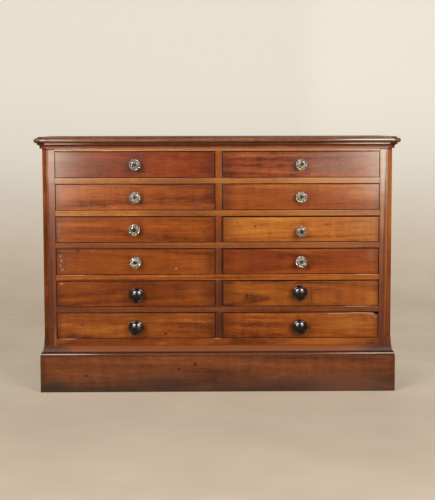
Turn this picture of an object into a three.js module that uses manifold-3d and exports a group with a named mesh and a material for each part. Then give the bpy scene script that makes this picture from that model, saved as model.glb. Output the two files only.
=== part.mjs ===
// A haberdashery cabinet: two columns of small drawers in a case with canted front corners,
// under a moulded top with a cornice and on a moulded plinth.
//
// Millimetres, +Z up. The front faces -Y, and X runs from its left to its right. The origin is
// on the floor, under the middle of the whole cabinet with its knobs.

import * as THREE from "three";
import { mergeVertices } from "three/addons/utils/BufferGeometryUtils.js";
import Module from "manifold-3d";

// The case
const caseWidth = 1200;
const caseDepth = 470;
const rowCount = 6;
const openingHeight = 91;
const shelfThickness = 20;
const bottomRailHeight = 24;
const topRailHeight = 28;
const topRailDepth = 30;
const sideThickness = 18;
const dividerWidth = 22;
const dividerShift = 3;
const backThickness = 10;
const backRebate = 8;
const backBoardCount = 6;
const backVeeDepth = 2;
const housingDepth = 6;
const guideHeight = 25;

// The corner posts, with a canted arris that a lamb's tongue stops above the plinth
const postWidth = 44;
const postDepth = 41;
const postCant = 19;
const tongueFoot = 3;
const tongueHeight = 36;
const tongueBellyShare = 0.62;

// The top board and its moulded edge
const topThickness = 21;
const topOverhang = 27;
const topCant = 27;
const topFilletHeight = 5;
const topFilletSetback = 13;
const topRoundOff = 1.5;

// The cornice under the top board
const corniceHeight = 19;
const corniceHead = 17;
const corniceHeadFillet = 2;
const corniceBeadRadius = 2;
const corniceQuirk = 1.5;
const corniceFoot = 8;
const corniceFootFillet = 5;

// The plinth
const plinthHeight = 161;
const plinthThickness = 22;
const plinthOverhang = 13;
const plinthMouldHeight = 37;
const plinthLedge = 1;
const plinthQuirk = 2.5;
const plinthBeadRadius = 3.5;
const plinthUpperQuirk = 2;
const plinthCavettoReach = 10.5;
const plinthCavettoShare = 0.6;
const plinthMouldHead = 1;
const plinthBlockLeg = 70;
const plinthBlockFoot = 8;

// The drawers
const frontThickness = 20;
const frontFootGap = 1;
const frontTopGap = 2;
const frontSideGap = 1.5;
const wornGap = 4;
const trayThickness = 10;
const trayHeadroom = 7;
const trayBackDrop = 9;
const drawerBackRoom = 20;
const bottomThickness = 6;
const bottomRise = 8;
const bottomGroove = 4;
const frontGroove = 6;
const tailCount = 3;
const tailLength = 14;
const tailRootWidth = 16;
const tailSlope = 1 / 6;
const stopWidth = 34;
const stopDepth = 14;
const stopHeight = 6;
const stopPlaceShare = 0.3;

// The glass knobs of the upper rows: a cut glass head on a metal collar, held by a bolt and nut
const glassRowCount = 4;
const glassSides = 8;
const glassRadius = 20.5;
const glassReach = 34;
const glassNeckRadius = 10;
const glassTableRadius = 10.5;
const glassCrownDepth = 8;
const glassGirdleDepth = 4;
const collarRadius = 13;
const collarThickness = 5;
const boltRadius = 3;
const boltHeadRadius = 4.5;
const boltHeadDepth = 1.5;
const nutRadius = 7;
const nutThickness = 5;

// The turned wooden knobs of the lower rows, on a dowel through the drawer front
const woodRadius = 27;
const woodReach = 44;
const woodFootRadius = 15;
const woodFootDepth = 4;
const woodNeckRadius = 11.5;
const woodRimDepth = 10;
const woodRingWidth = 5.5;
const woodGroove = 1.8;
const woodDowelRadius = 7;

// How far a knob sits off the middle of its drawer front, to the right and up
const knobShifts = {
  l3: [-3, 0],
  l5: [3, -1],
  l6: [1, -3],
  r3: [0, -7],
  r5: [-5, 5],
  r6: [-4, -2],
};

// Clearances, facets and tolerances
const fitGap = 0.3;
const runGap = 0.3;
const cutOverrun = 5;
const arcSteps = 6;
const boreSides = 16;
const knobSides = 18;
const knobArcSteps = 3;
const weld = 0.001;

// Places worked out from the sizes above; y counts back from the front of the case
const caseHalf = caseWidth / 2;
const openingHalf = caseHalf - postWidth;
const dividerLeft = dividerShift - dividerWidth / 2;
const dividerRight = dividerShift + dividerWidth / 2;
const rowPitch = openingHeight + shelfThickness;
const openingsFoot = plinthHeight + bottomRailHeight;
const topRailFoot = openingsFoot + rowCount * rowPitch - shelfThickness;
const caseTop = topRailFoot + topRailHeight;
const backFace = caseDepth - backThickness;
const shelfBack = backFace - fitGap;
const halvingDepth = shelfBack / 2;
const frontReach = Math.max(woodReach, glassReach, topOverhang);
const caseFront = (frontReach - caseDepth) / 2;
const plinthInset = plinthThickness - plinthOverhang;
const frontHeight = openingHeight - frontFootGap - frontTopGap;
const knobHeight = frontFootGap + frontHeight / 2;
const trayHeight = openingHeight - trayHeadroom;
const trayBack = backFace - drawerBackRoom;
const bottomRailDepth = frontThickness;

// Finishes
const caseWood = finish(0x8f4a26, 0.42, 0);
const railWood = finish(0xa5602f, 0.42, 0);
const drawerWood = finish(0x8c4322, 0.38, 0);
const insideWood = finish(0xb98a58, 0.75, 0);
const glass = finish(0xb9c2b0, 0.08, 0);
const blackWood = finish(0x2a211d, 0.25, 0);

const wasm = await Module();
wasm.setup();

function finish(color, roughness, metalness) {
  return new THREE.MeshStandardMaterial({ color, roughness, metalness });
}

// A closed geometry as a solid that can be joined and cut
function solidOf(geometry) {
  const bare = geometry.clone();
  bare.deleteAttribute("normal");
  bare.deleteAttribute("uv");
  const merged = mergeVertices(bare, weld);
  return new wasm.Manifold(
    new wasm.Mesh({
      numProp: 3,
      vertProperties: new Float32Array(merged.attributes.position.array),
      triVerts: new Uint32Array(merged.index.array),
    }),
  );
}

function geometryOf(solid) {
  const { vertProperties, triVerts } = solid.getMesh();
  const geometry = new THREE.BufferGeometry();
  geometry.setAttribute("position", new THREE.BufferAttribute(vertProperties, 3));
  geometry.setIndex(new THREE.BufferAttribute(triVerts, 1));
  const faceted = geometry.toNonIndexed();
  faceted.computeVertexNormals();
  return faceted;
}

function joined(geometries) {
  return geometryOf(geometries.map(solidOf).reduce((whole, piece) => whole.add(piece)));
}

function cut(geometry, cutters) {
  const whole = solidOf(geometry);
  return geometryOf(cutters.map(solidOf).reduce((left, cutter) => left.subtract(cutter), whole));
}

// A board between two corners
function board([x0, y0, z0], [x1, y1, z1]) {
  const geometry = new THREE.BoxGeometry(x1 - x0, y1 - y0, z1 - z0);
  return geometry.translate((x0 + x1) / 2, (y0 + y1) / 2, (z0 + z1) / 2);
}

// Outlines drawn in plan, from the side and from the front, extruded along the third axis
const sideView = new THREE.Matrix4().makeBasis(
  new THREE.Vector3(0, 1, 0),
  new THREE.Vector3(0, 0, 1),
  new THREE.Vector3(1, 0, 0),
);
const frontView = new THREE.Matrix4().makeBasis(
  new THREE.Vector3(1, 0, 0),
  new THREE.Vector3(0, 0, 1),
  new THREE.Vector3(0, -1, 0),
);

function extruded(points, depth) {
  const outline = new THREE.Shape(points.map(([u, v]) => new THREE.Vector2(u, v)));
  return new THREE.ExtrudeGeometry(outline, { depth, bevelEnabled: false });
}

function alongZ(points, z0, z1) {
  return extruded(points, z1 - z0).translate(0, 0, z0);
}

function alongX(points, x0, x1) {
  return extruded(points, x1 - x0).applyMatrix4(sideView).translate(x0, 0, 0);
}

function alongY(points, y0, y1) {
  return extruded(points, y1 - y0).applyMatrix4(frontView).translate(0, y1, 0);
}

// The points of a drawn profile, without its repeated end
function profilePoints(shape) {
  const points = shape.getPoints(arcSteps);
  if (points[0].distanceTo(points[points.length - 1]) < weld) points.pop();
  return points.filter((point, i) => i === 0 || point.distanceTo(points[i - 1]) > weld);
}

// A closed body through rings of equally many points; the cap is the end face, drawn flat
function loft(rings, cap) {
  const count = cap.length;
  const points = rings.flat();
  const triangles = [];
  for (let ring = 0; ring + 1 < rings.length; ring++) {
    for (let i = 0; i < count; i++) {
      const here = ring * count + i;
      const next = ring * count + ((i + 1) % count);
      triangles.push([here, next, next + count], [here, next + count, here + count]);
    }
  }
  const last = (rings.length - 1) * count;
  const counterClockwise = THREE.ShapeUtils.area(cap) > 0;
  for (const [a, b, c] of THREE.ShapeUtils.triangulateShape(cap, [])) {
    const [p, q, r] = counterClockwise ? [a, c, b] : [a, b, c];
    triangles.push([p, q, r], [r + last, q + last, p + last]);
  }
  const volume = triangles.reduce(
    (sum, [a, b, c]) => sum + points[a].dot(points[b].clone().cross(points[c])),
    0,
  );
  const faces = volume < 0 ? triangles.map(([a, b, c]) => [a, c, b]) : triangles;
  const geometry = new THREE.BufferGeometry().setFromPoints(points);
  geometry.setIndex(faces.flat());
  return geometry.toNonIndexed();
}

// A moulding with mitred corners along part of a plan outline. The profile's x counts out
// from the outline and its y counts up. Where the run ends at a mitre it keeps half a gap.
function moulding(outline, profile, first, last) {
  const heading = (i) => outline[i + 1].clone().sub(outline[i]).normalize();
  const outward = (i) => new THREE.Vector2(heading(i).y, -heading(i).x);
  const end = outline.length - 1;
  const rings = [];
  for (let i = first; i <= last; i++) {
    const before = outward(Math.max(i - 1, 0));
    const after = outward(Math.min(i, end - 1));
    const mitre = before.clone().add(after).divideScalar(1 + before.dot(after));
    const corner = outline[i].clone();
    if (i === first && i > 0) corner.addScaledVector(heading(i), fitGap / 2);
    if (i === last && i < end) corner.addScaledVector(heading(i - 1), -fitGap / 2);
    rings.push(
      profile.map((p) => new THREE.Vector3(corner.x + p.x * mitre.x, corner.y + p.x * mitre.y, p.y)),
    );
  }
  return loft(rings, profile);
}

function plan(points) {
  return points.map(([x, y]) => new THREE.Vector2(x, y));
}

// The top board: its plan outline, canted at the front corners, follows the moulded edge up
function topBoard() {
  const noseRadius = (topThickness - topFilletHeight) / 2;
  const edge = new THREE.Path();
  edge.moveTo(topOverhang - noseRadius, 0);
  edge.absarc(topOverhang - noseRadius, noseRadius, noseRadius, -Math.PI / 2, Math.PI / 2);
  edge.lineTo(topOverhang - topFilletSetback, topThickness - topFilletHeight);
  edge.lineTo(topOverhang - topFilletSetback, topThickness - topRoundOff);
  edge.quadraticCurveTo(
    topOverhang - topFilletSetback,
    topThickness,
    topOverhang - topFilletSetback - topRoundOff,
    topThickness,
  );
  const cantGrowth = 2 - Math.SQRT2;
  const rings = profilePoints(edge).map(({ x: reach, y: z }) => {
    const half = caseHalf + reach;
    const cant = topCant - (topOverhang - reach) * cantGrowth;
    return [
      [-half, caseDepth],
      [-half, cant - reach],
      [cant - half, -reach],
      [half - cant, -reach],
      [half, cant - reach],
      [half, caseDepth],
    ].map(([x, y]) => new THREE.Vector3(x, y, z));
  });
  const cap = rings[0].map(({ x, y }) => new THREE.Vector2(x, y));
  return loft(rings, cap);
}

const cantedOutline = plan([
  [-caseHalf, caseDepth],
  [-caseHalf, postCant],
  [postCant - caseHalf, 0],
  [caseHalf - postCant, 0],
  [caseHalf, postCant],
  [caseHalf, caseDepth],
]);

// Fillet, bead, quirk, cove and foot fillet, from the top down
function corniceProfile() {
  const beadMiddle = corniceHeight - corniceHeadFillet - corniceBeadRadius;
  const beadFoot = beadMiddle - corniceBeadRadius;
  const coveHead = corniceHead - corniceQuirk;
  const profile = new THREE.Shape();
  profile.moveTo(fitGap, 0);
  profile.lineTo(corniceFoot, 0);
  profile.lineTo(corniceFoot, corniceFootFillet);
  profile.absellipse(
    coveHead,
    corniceFootFillet,
    coveHead - corniceFoot,
    beadFoot - corniceFootFillet,
    Math.PI,
    Math.PI / 2,
    true,
  );
  profile.absarc(coveHead, beadMiddle, corniceBeadRadius, -Math.PI / 2, Math.PI / 2);
  profile.lineTo(corniceHead, corniceHeight - corniceHeadFillet);
  profile.lineTo(corniceHead, corniceHeight - fitGap);
  profile.lineTo(fitGap, corniceHeight - fitGap);
  return profilePoints(profile);
}

const squareOutline = plan([
  [-caseHalf, caseDepth],
  [-caseHalf, 0],
  [caseHalf, 0],
  [caseHalf, caseDepth],
]);

// Flat face, ledge, quirk, bead, upper quirk and cavetto, from the floor up
function plinthProfile() {
  const faceTop = plinthHeight - plinthMouldHeight;
  const beadFoot = faceTop + plinthQuirk;
  const beadPlace = plinthOverhang - plinthLedge - plinthBeadRadius;
  const cavettoFoot = beadFoot + 2 * plinthBeadRadius + plinthUpperQuirk;
  const cavettoBend = plinthHeight - (plinthHeight - cavettoFoot) * plinthCavettoShare;
  const profile = new THREE.Shape();
  profile.moveTo(-plinthInset, 0);
  profile.lineTo(plinthOverhang, 0);
  profile.lineTo(plinthOverhang, faceTop);
  profile.lineTo(beadPlace, faceTop);
  profile.lineTo(beadPlace, beadFoot);
  profile.absarc(beadPlace, beadFoot + plinthBeadRadius, plinthBeadRadius, -Math.PI / 2, Math.PI / 2);
  profile.lineTo(beadPlace, cavettoFoot);
  profile.lineTo(plinthCavettoReach, cavettoFoot);
  profile.quadraticCurveTo(plinthMouldHead, cavettoBend, plinthMouldHead, plinthHeight);
  profile.lineTo(-plinthInset, plinthHeight);
  return profilePoints(profile);
}

function plinthBack() {
  const half = caseHalf - plinthInset - fitGap;
  return board([-half, caseDepth - plinthThickness, 0], [half, caseDepth, plinthHeight]);
}

// A glue block in a front corner of the plinth; side is -1 on the left and 1 on the right
function plinthBlock(side) {
  const x = side * (caseHalf - plinthInset - fitGap);
  const y = plinthInset + fitGap;
  const corner = [
    [x, y],
    [x - side * plinthBlockLeg, y],
    [x, y + plinthBlockLeg],
  ];
  return alongZ(corner, plinthBlockFoot, plinthHeight);
}

// A corner post, its outer arris at x = 0 and its foot on the plinth
function cornerPost(side) {
  const height = caseTop - plinthHeight;
  const xs = [0, -side * postWidth].sort((a, b) => a - b);
  const square = board([xs[0], 0, fitGap], [xs[1], postDepth, height - fitGap]);
  const cantDepth = postCant / Math.SQRT2;
  const tongueTop = tongueFoot + tongueHeight;
  const waste = new THREE.Shape();
  waste.moveTo(-cutOverrun, tongueFoot);
  waste.lineTo(0, tongueFoot);
  waste.bezierCurveTo(
    0,
    tongueFoot + tongueHeight * tongueBellyShare,
    cantDepth,
    tongueTop - tongueHeight * tongueBellyShare,
    cantDepth,
    tongueTop,
  );
  waste.lineTo(cantDepth, height + cutOverrun);
  waste.lineTo(-cutOverrun, height + cutOverrun);
  const width = 2 * (postCant + cutOverrun);
  const cutter = new THREE.ExtrudeGeometry(waste, {
    depth: width,
    bevelEnabled: false,
    curveSegments: 2 * arcSteps,
  });
  const inward = new THREE.Vector3(-side, 1, 0).normalize();
  const up = new THREE.Vector3(0, 0, 1);
  const across = inward.clone().cross(up);
  cutter.translate(0, 0, -width / 2);
  cutter.applyMatrix4(new THREE.Matrix4().makeBasis(inward, up, across));
  return cut(square, [cutter]);
}

// A side board with its drawer guides, housed for the shelves and rebated for the back
function sidePanel(side) {
  const foot = plinthHeight + fitGap;
  const head = caseTop - fitGap;
  const housing = sideThickness - housingDepth;
  const section = [
    [0, foot],
    [0, head],
    [sideThickness, head],
  ];
  for (let row = rowCount - 1; row >= 0; row--) {
    const shelfTop = openingsFoot + row * rowPitch;
    const guideFoot = shelfTop + fitGap;
    const shelfFoot = shelfTop - shelfThickness - fitGap;
    section.push(
      [sideThickness, guideFoot + guideHeight],
      [postWidth, guideFoot + guideHeight],
      [postWidth, guideFoot],
      [housing, guideFoot],
      [housing, shelfFoot],
      [sideThickness, shelfFoot],
    );
  }
  section.push([sideThickness, foot]);
  const placed = section.map(([inward, z]) => [side * (caseHalf - inward), z]);
  const skinInner = caseHalf - sideThickness + backRebate;
  const xs = [side * caseHalf, side * skinInner].sort((a, b) => a - b);
  const skin = board([xs[0], postDepth + fitGap, foot], [xs[1], caseDepth, head]);
  return joined([alongY(placed, postDepth + fitGap, shelfBack), skin]);
}

// Two stops for each drawer, standing on the board behind where the drawer front comes to rest
function stops(z) {
  const blocks = [];
  for (const { left, right } of columns) {
    for (const share of [stopPlaceShare, 1 - stopPlaceShare]) {
      const middle = left + (right - left) * share;
      const front = frontThickness + fitGap;
      blocks.push(
        board(
          [middle - stopWidth / 2, front, z - shelfThickness / 2],
          [middle + stopWidth / 2, front + stopDepth, z + stopHeight],
        ),
      );
    }
  }
  return blocks;
}

// A shelf between two rows: its front edge is the rail that shows, its back half is slotted
// for the partition, and its ends sit in the side boards. Its underside is at z = 0.
function drawerShelf() {
  const frontHalf = openingHalf - fitGap;
  const housedHalf = caseHalf - sideThickness + housingDepth - fitGap;
  const shoulder = postDepth + fitGap;
  const outline = [
    [-frontHalf, 0],
    [frontHalf, 0],
    [frontHalf, shoulder],
    [housedHalf, shoulder],
    [housedHalf, shelfBack],
    [dividerRight + fitGap, shelfBack],
    [dividerRight + fitGap, halvingDepth],
    [dividerLeft - fitGap, halvingDepth],
    [dividerLeft - fitGap, shelfBack],
    [-housedHalf, shelfBack],
    [-housedHalf, shoulder],
    [-frontHalf, shoulder],
  ];
  return joined([alongZ(outline, 0, shelfThickness), ...stops(shelfThickness)]);
}

// The board under the lowest row, behind the bottom rail. Its top is at z = 0.
function bottomBoard() {
  const frontHalf = openingHalf - fitGap;
  const housedHalf = caseHalf - sideThickness + housingDepth - fitGap;
  const shoulder = postDepth + fitGap;
  const outline = [
    [-frontHalf, bottomRailDepth + fitGap],
    [frontHalf, bottomRailDepth + fitGap],
    [frontHalf, shoulder],
    [housedHalf, shoulder],
    [housedHalf, shelfBack],
    [-housedHalf, shelfBack],
    [-housedHalf, shoulder],
    [-frontHalf, shoulder],
  ];
  return joined([alongZ(outline, -shelfThickness, 0), ...stops(0)]);
}

function bottomRail() {
  const half = openingHalf - fitGap;
  return board([-half, 0, plinthHeight + fitGap], [half, bottomRailDepth, openingsFoot]);
}

function topRail() {
  const half = openingHalf - fitGap;
  return board([-half, 0, topRailFoot], [half, topRailDepth, caseTop - fitGap]);
}

// The partition between the columns: its front edge shows between the shelves, which cross it
// in slots that reach halfway back
function centrePartition() {
  const slotBack = halvingDepth + fitGap;
  const outline = [[0, openingsFoot + fitGap]];
  for (let row = 1; row < rowCount; row++) {
    const shelfTop = openingsFoot + row * rowPitch + fitGap;
    const shelfFoot = shelfTop - shelfThickness - 2 * fitGap;
    outline.push([0, shelfFoot], [slotBack, shelfFoot], [slotBack, shelfTop], [0, shelfTop]);
  }
  outline.push(
    [0, topRailFoot - fitGap],
    [topRailDepth + fitGap, topRailFoot - fitGap],
    [topRailDepth + fitGap, caseTop - fitGap],
    [shelfBack, caseTop - fitGap],
    [shelfBack, openingsFoot + fitGap],
  );
  return alongX(outline, dividerLeft, dividerRight);
}

// The back: upright boards, with a vee on the outside where two meet
function backBoards() {
  const half = caseHalf - sideThickness + backRebate - fitGap;
  const outline = [
    [-half, backFace],
    [half, backFace],
    [half, caseDepth],
  ];
  for (let i = backBoardCount - 1; i > 0; i--) {
    const x = half * (2 * (i / backBoardCount) - 1);
    outline.push([x + backVeeDepth, caseDepth], [x, caseDepth - backVeeDepth], [x - backVeeDepth, caseDepth]);
  }
  outline.push([-half, caseDepth]);
  return alongZ(outline, plinthHeight + fitGap, caseTop - fitGap);
}

// The two columns, each from one edge of its openings to the other, with its drawers' gaps
const columns = [
  { name: "l", left: -openingHalf, right: dividerLeft, leftGap: frontSideGap, rightGap: frontSideGap },
  { name: "r", left: dividerRight, right: openingHalf, leftGap: wornGap, rightGap: frontSideGap },
];

// The drawers are drawn with the foot of the opening's middle at the origin
function drawerEnds({ left, right, leftGap, rightGap }) {
  const half = (right - left) / 2;
  return { start: leftGap - half, stop: half - rightGap };
}

// The tails along one end of a drawer side, as y and z, wider at their tips; a socket is the
// same outline with room round it
function tailOutlines(room) {
  const root = frontThickness + fitGap;
  const tip = frontThickness - tailLength - room;
  return Array.from({ length: tailCount }, (_, i) => {
    const middle = runGap + (trayHeight * (2 * i + 1)) / (2 * tailCount);
    const rootHalf = tailRootWidth / 2 + room;
    const tipHalf = rootHalf + (root - tip) * tailSlope;
    return { root, tip, middle, rootHalf, tipHalf };
  });
}

// Where a knob's axis goes through its drawer front, as x and z
function knobPlace(column, row) {
  const { start, stop } = drawerEnds(column);
  const [across, up] = knobShifts[column.name + row] ?? [0, 0];
  return { x: (start + stop) / 2 + across, z: knobHeight + up };
}

// A drawer front: half-blind sockets at both ends, a groove for the bottom, a bore for the knob
function drawerFront(column, knobAxis, boreRadius) {
  const { start, stop } = drawerEnds(column);
  const cutters = [];
  for (const { root, tip, middle, rootHalf, tipHalf } of tailOutlines(fitGap)) {
    const grown = (root + cutOverrun - tip) / (root - tip);
    const backHalf = tipHalf - (tipHalf - rootHalf) * grown;
    const socket = [
      [tip, middle - tipHalf],
      [root + cutOverrun, middle - backHalf],
      [root + cutOverrun, middle + backHalf],
      [tip, middle + tipHalf],
    ];
    cutters.push(alongX(socket, start - cutOverrun, start + trayThickness + fitGap));
    cutters.push(alongX(socket, stop - trayThickness - fitGap, stop + cutOverrun));
  }
  const grooveFoot = runGap + bottomRise - fitGap;
  const grooveTop = runGap + bottomRise + bottomThickness + fitGap;
  cutters.push(
    board(
      [start + trayThickness, frontThickness - frontGroove, grooveFoot],
      [stop - trayThickness, frontThickness + cutOverrun, grooveTop],
    ),
  );
  const boreLength = frontThickness + 2 * cutOverrun;
  const bore = new THREE.CylinderGeometry(boreRadius, boreRadius, boreLength, boreSides);
  cutters.push(bore.translate(knobAxis.x, frontThickness / 2, knobAxis.z));
  const face = board([start, 0, frontFootGap], [stop, frontThickness, frontFootGap + frontHeight]);
  return cut(face, cutters);
}

// A drawer side with its tails, as y and z
function traySide() {
  const foot = runGap;
  const head = runGap + trayHeight;
  const outline = [
    [trayBack, head],
    [trayBack, foot],
  ];
  for (const { root, tip, middle, rootHalf, tipHalf } of tailOutlines(0)) {
    if (outline.length === 2) outline.push([root, foot]);
    outline.push(
      [root, middle - rootHalf],
      [tip, middle - tipHalf],
      [tip, middle + tipHalf],
      [root, middle + rootHalf],
    );
  }
  outline.push([frontThickness + fitGap, head]);
  return outline;
}

// The tray behind a drawer front: two sides, a lower back, and a thin bottom that is grooved
// into them and slides under the back
function drawerTray(column) {
  const { start, stop } = drawerEnds(column);
  const innerStart = start + trayThickness;
  const innerStop = stop - trayThickness;
  const root = frontThickness + fitGap;
  const bottomFoot = runGap + bottomRise;
  const bottomTop = bottomFoot + bottomThickness;
  const tongue = frontThickness - frontGroove + fitGap;
  const bottom = [
    [innerStart + fitGap, tongue],
    [innerStop - fitGap, tongue],
    [innerStop - fitGap, root],
    [innerStop + bottomGroove, root],
    [innerStop + bottomGroove, trayBack],
    [innerStart - bottomGroove, trayBack],
    [innerStart - bottomGroove, root],
    [innerStart + fitGap, root],
  ];
  return joined([
    alongX(traySide(), start, innerStart),
    alongX(traySide(), innerStop, stop),
    alongZ(bottom, bottomFoot, bottomTop),
    board(
      [innerStart - bottomGroove, trayBack - trayThickness, bottomTop - bottomThickness / 2],
      [innerStop + bottomGroove, trayBack, runGap + trayHeight - trayBackDrop],
    ),
  ]);
}

// A turned body about the knob's axis, from a profile of radius and reach out of the front
function turned(points, sides) {
  const profile = points.map(([radius, reach]) => new THREE.Vector2(radius, reach));
  return new THREE.LatheGeometry(profile, sides).rotateX(Math.PI);
}

function glassKnob() {
  const girdleFront = glassReach - glassCrownDepth;
  const girdleBack = girdleFront - glassGirdleDepth;
  const neck = collarThickness + fitGap;
  const tableRoom = glassReach - boltHeadDepth;
  const head = turned(
    [
      [0, collarThickness / 2],
      [glassNeckRadius, collarThickness / 2],
      [glassNeckRadius, neck + glassGirdleDepth],
      [glassRadius, girdleBack],
      [glassRadius, girdleFront],
      [glassTableRadius, tableRoom],
      [0, tableRoom],
    ],
    glassSides,
  );
  const metal = turned(
    [
      [0, -frontThickness - fitGap - nutThickness],
      [nutRadius, -frontThickness - fitGap - nutThickness],
      [nutRadius, -frontThickness - fitGap],
      [boltRadius, -frontThickness - fitGap],
      [boltRadius, fitGap],
      [collarRadius, fitGap],
      [collarRadius, collarThickness / 2],
      [glassNeckRadius + fitGap, collarThickness],
      [boltHeadRadius, collarThickness],
      [boltHeadRadius, tableRoom],
      [boltHeadRadius - boltHeadDepth, glassReach],
      [0, glassReach],
    ],
    boreSides,
  );
  return joined([head, metal]);
}

function woodKnob() {
  const rimFront = woodReach - woodRimDepth;
  const rimBack = rimFront - woodRimDepth;
  const ringInner = woodRadius - woodRingWidth;
  const outline = new THREE.Path();
  outline.moveTo(0, -frontThickness);
  outline.lineTo(woodDowelRadius, -frontThickness);
  outline.lineTo(woodDowelRadius, fitGap);
  outline.lineTo(woodFootRadius, fitGap);
  outline.lineTo(woodFootRadius, woodFootDepth);
  outline.quadraticCurveTo(woodNeckRadius, woodFootDepth, woodNeckRadius, rimBack / 2);
  outline.quadraticCurveTo(woodNeckRadius, rimBack, woodRadius - woodGroove, rimBack);
  outline.quadraticCurveTo(woodRadius, rimBack, woodRadius, rimBack + woodRimDepth / 2);
  outline.quadraticCurveTo(woodRadius, rimFront, ringInner, rimFront + woodGroove);
  outline.lineTo(ringInner, rimFront - woodGroove / 2);
  outline.quadraticCurveTo(ringInner - woodGroove, woodReach, 0, woodReach);
  const points = outline.getPoints(knobArcSteps).map(({ x, y }) => [x, y]);
  return turned(points, knobSides);
}

function piece(name, geometry, material) {
  const mesh = new THREE.Mesh(geometry, material);
  mesh.name = name;
  return mesh;
}

function caseGroup() {
  const group = new THREE.Group();
  const top = piece("top_board", topBoard(), caseWood);
  top.position.z = caseTop;
  group.add(top);

  const runs = { left: [0, 2], front: [2, 3], right: [3, 5] };
  for (const [name, [first, last]] of Object.entries(runs)) {
    const run = moulding(cantedOutline, corniceProfile(), first, last);
    const cornice = piece("cornice_" + name, run, caseWood);
    cornice.position.z = caseTop - corniceHeight;
    group.add(cornice);
  }

  for (const [name, side] of [["left", -1], ["right", 1]]) {
    const post = piece("corner_post_" + name, cornerPost(side), railWood);
    post.position.set(side * caseHalf, 0, plinthHeight);
    group.add(post);
    group.add(piece("side_panel_" + name, sidePanel(side), caseWood));
    group.add(piece("plinth_block_" + name, plinthBlock(side), insideWood));
  }

  const shelf = drawerShelf();
  for (let i = 1; i < rowCount; i++) {
    const placed = piece("drawer_shelf_" + i, shelf, railWood);
    placed.position.z = topRailFoot - i * rowPitch;
    group.add(placed);
  }
  const bottom = piece("bottom_board", bottomBoard(), insideWood);
  bottom.position.z = openingsFoot;
  group.add(bottom);
  group.add(piece("bottom_rail", bottomRail(), railWood));
  group.add(piece("top_rail", topRail(), railWood));
  group.add(piece("centre_partition", centrePartition(), railWood));
  group.add(piece("back_boards", backBoards(), insideWood));

  ["left", "front", "right"].forEach((name, i) => {
    group.add(piece("plinth_" + name, moulding(squareOutline, plinthProfile(), i, i + 1), caseWood));
  });
  group.add(piece("plinth_back", plinthBack(), insideWood));
  return group;
}

function drawerGroup(column, row) {
  const hasGlass = row <= glassRowCount;
  const boreRadius = (hasGlass ? boltRadius : woodDowelRadius) + fitGap;
  const knobAxis = knobPlace(column, row);
  const name = "drawer_" + column.name + row;
  const group = new THREE.Group();
  group.add(piece(name + "_front", drawerFront(column, knobAxis, boreRadius), drawerWood));
  group.add(piece(name + "_tray", drawerTray(column), insideWood));
  const knob = hasGlass
    ? piece(name + "_knob", glassKnob(), glass)
    : piece(name + "_knob", woodKnob(), blackWood);
  knob.position.set(knobAxis.x, 0, knobAxis.z);
  group.add(knob);
  group.position.set((column.left + column.right) / 2, 0, topRailFoot - row * rowPitch + shelfThickness);
  return group;
}

const cabinet = new THREE.Group();
cabinet.name = "cabinet";
cabinet.position.y = caseFront;
cabinet.add(caseGroup());
for (const column of columns) {
  for (let row = 1; row <= rowCount; row++) cabinet.add(drawerGroup(column, row));
}

const root = new THREE.Group();
root.add(cabinet);
export default root;
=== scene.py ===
"""The haberdashery cabinet: its looks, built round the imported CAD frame.

Twelve small drawers in two columns run in a mahogany case with canted corner posts, under a
moulded top and on a moulded plinth. The upper four rows have cut glass knobs and the lower two
have turned, ebonised ones. All lengths are metres in the CAD frame: the origin is on the floor
under the middle of the cabinet, the front faces -Y and +Z is up.
"""

import logging
import math
from dataclasses import dataclass
from enum import Enum
from functools import cache, cached_property
from typing import Callable, Sequence

import bmesh
import bpy
from bmesh.types import BMEdge, BMesh, BMVert
from bpy.types import ID, Material, Mesh, Node, NodeTree, Object, World
from bpy.types import NodeSocket as Socket
from mathutils import Euler, Matrix, Vector, noise


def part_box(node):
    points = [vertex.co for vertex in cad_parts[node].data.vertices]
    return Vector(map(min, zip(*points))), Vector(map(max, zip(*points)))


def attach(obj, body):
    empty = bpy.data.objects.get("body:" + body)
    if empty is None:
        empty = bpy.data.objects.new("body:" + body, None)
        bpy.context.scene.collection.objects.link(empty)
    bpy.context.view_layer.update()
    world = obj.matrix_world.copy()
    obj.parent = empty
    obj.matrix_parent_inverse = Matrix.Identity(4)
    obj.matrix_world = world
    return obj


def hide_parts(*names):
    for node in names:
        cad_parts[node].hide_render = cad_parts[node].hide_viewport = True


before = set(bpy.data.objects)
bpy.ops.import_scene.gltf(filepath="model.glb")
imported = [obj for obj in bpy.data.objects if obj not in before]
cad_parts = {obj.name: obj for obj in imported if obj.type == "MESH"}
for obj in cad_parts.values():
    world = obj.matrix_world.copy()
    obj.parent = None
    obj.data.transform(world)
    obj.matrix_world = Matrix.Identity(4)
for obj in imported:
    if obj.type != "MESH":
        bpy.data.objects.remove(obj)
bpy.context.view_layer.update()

log = logging.getLogger("cabinet")

Colour = tuple[float, float, float, float]
Value = float | Socket
MM = 0.001
CASE_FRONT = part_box("bottom_rail")[0].y

# Corners closer than this are one, in a new mesh and in a copy of a CAD solid.
WELD = 1e-6
CAD_WELD = 1e-5
# A point closer than this to a plane lies on it.
FLUSH = 1e-4
# Faces of a solid that turn less than this are one, and arrises that turn more can be eased.
FLAT_TURN = math.radians(0.4)
ARRIS_TURN = math.radians(30)


class Grain(Enum):
    """The way the fibres of a board run."""

    ACROSS = "x"
    BACKWARD = "y"
    UPRIGHT = "z"

    def turn(self) -> Euler:
        """The turn that lays this grain along X."""
        angles = {
            Grain.ACROSS: (0.0, 0.0, 0.0),
            Grain.BACKWARD: (0.0, 0.0, -math.pi / 2),
            Grain.UPRIGHT: (0.0, math.pi / 2, 0.0),
        }
        return Euler(angles[self])


class KnobKind(Enum):
    """The two kinds of knob on the drawers."""

    GLASS = "glass"
    WOOD = "wood"


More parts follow.
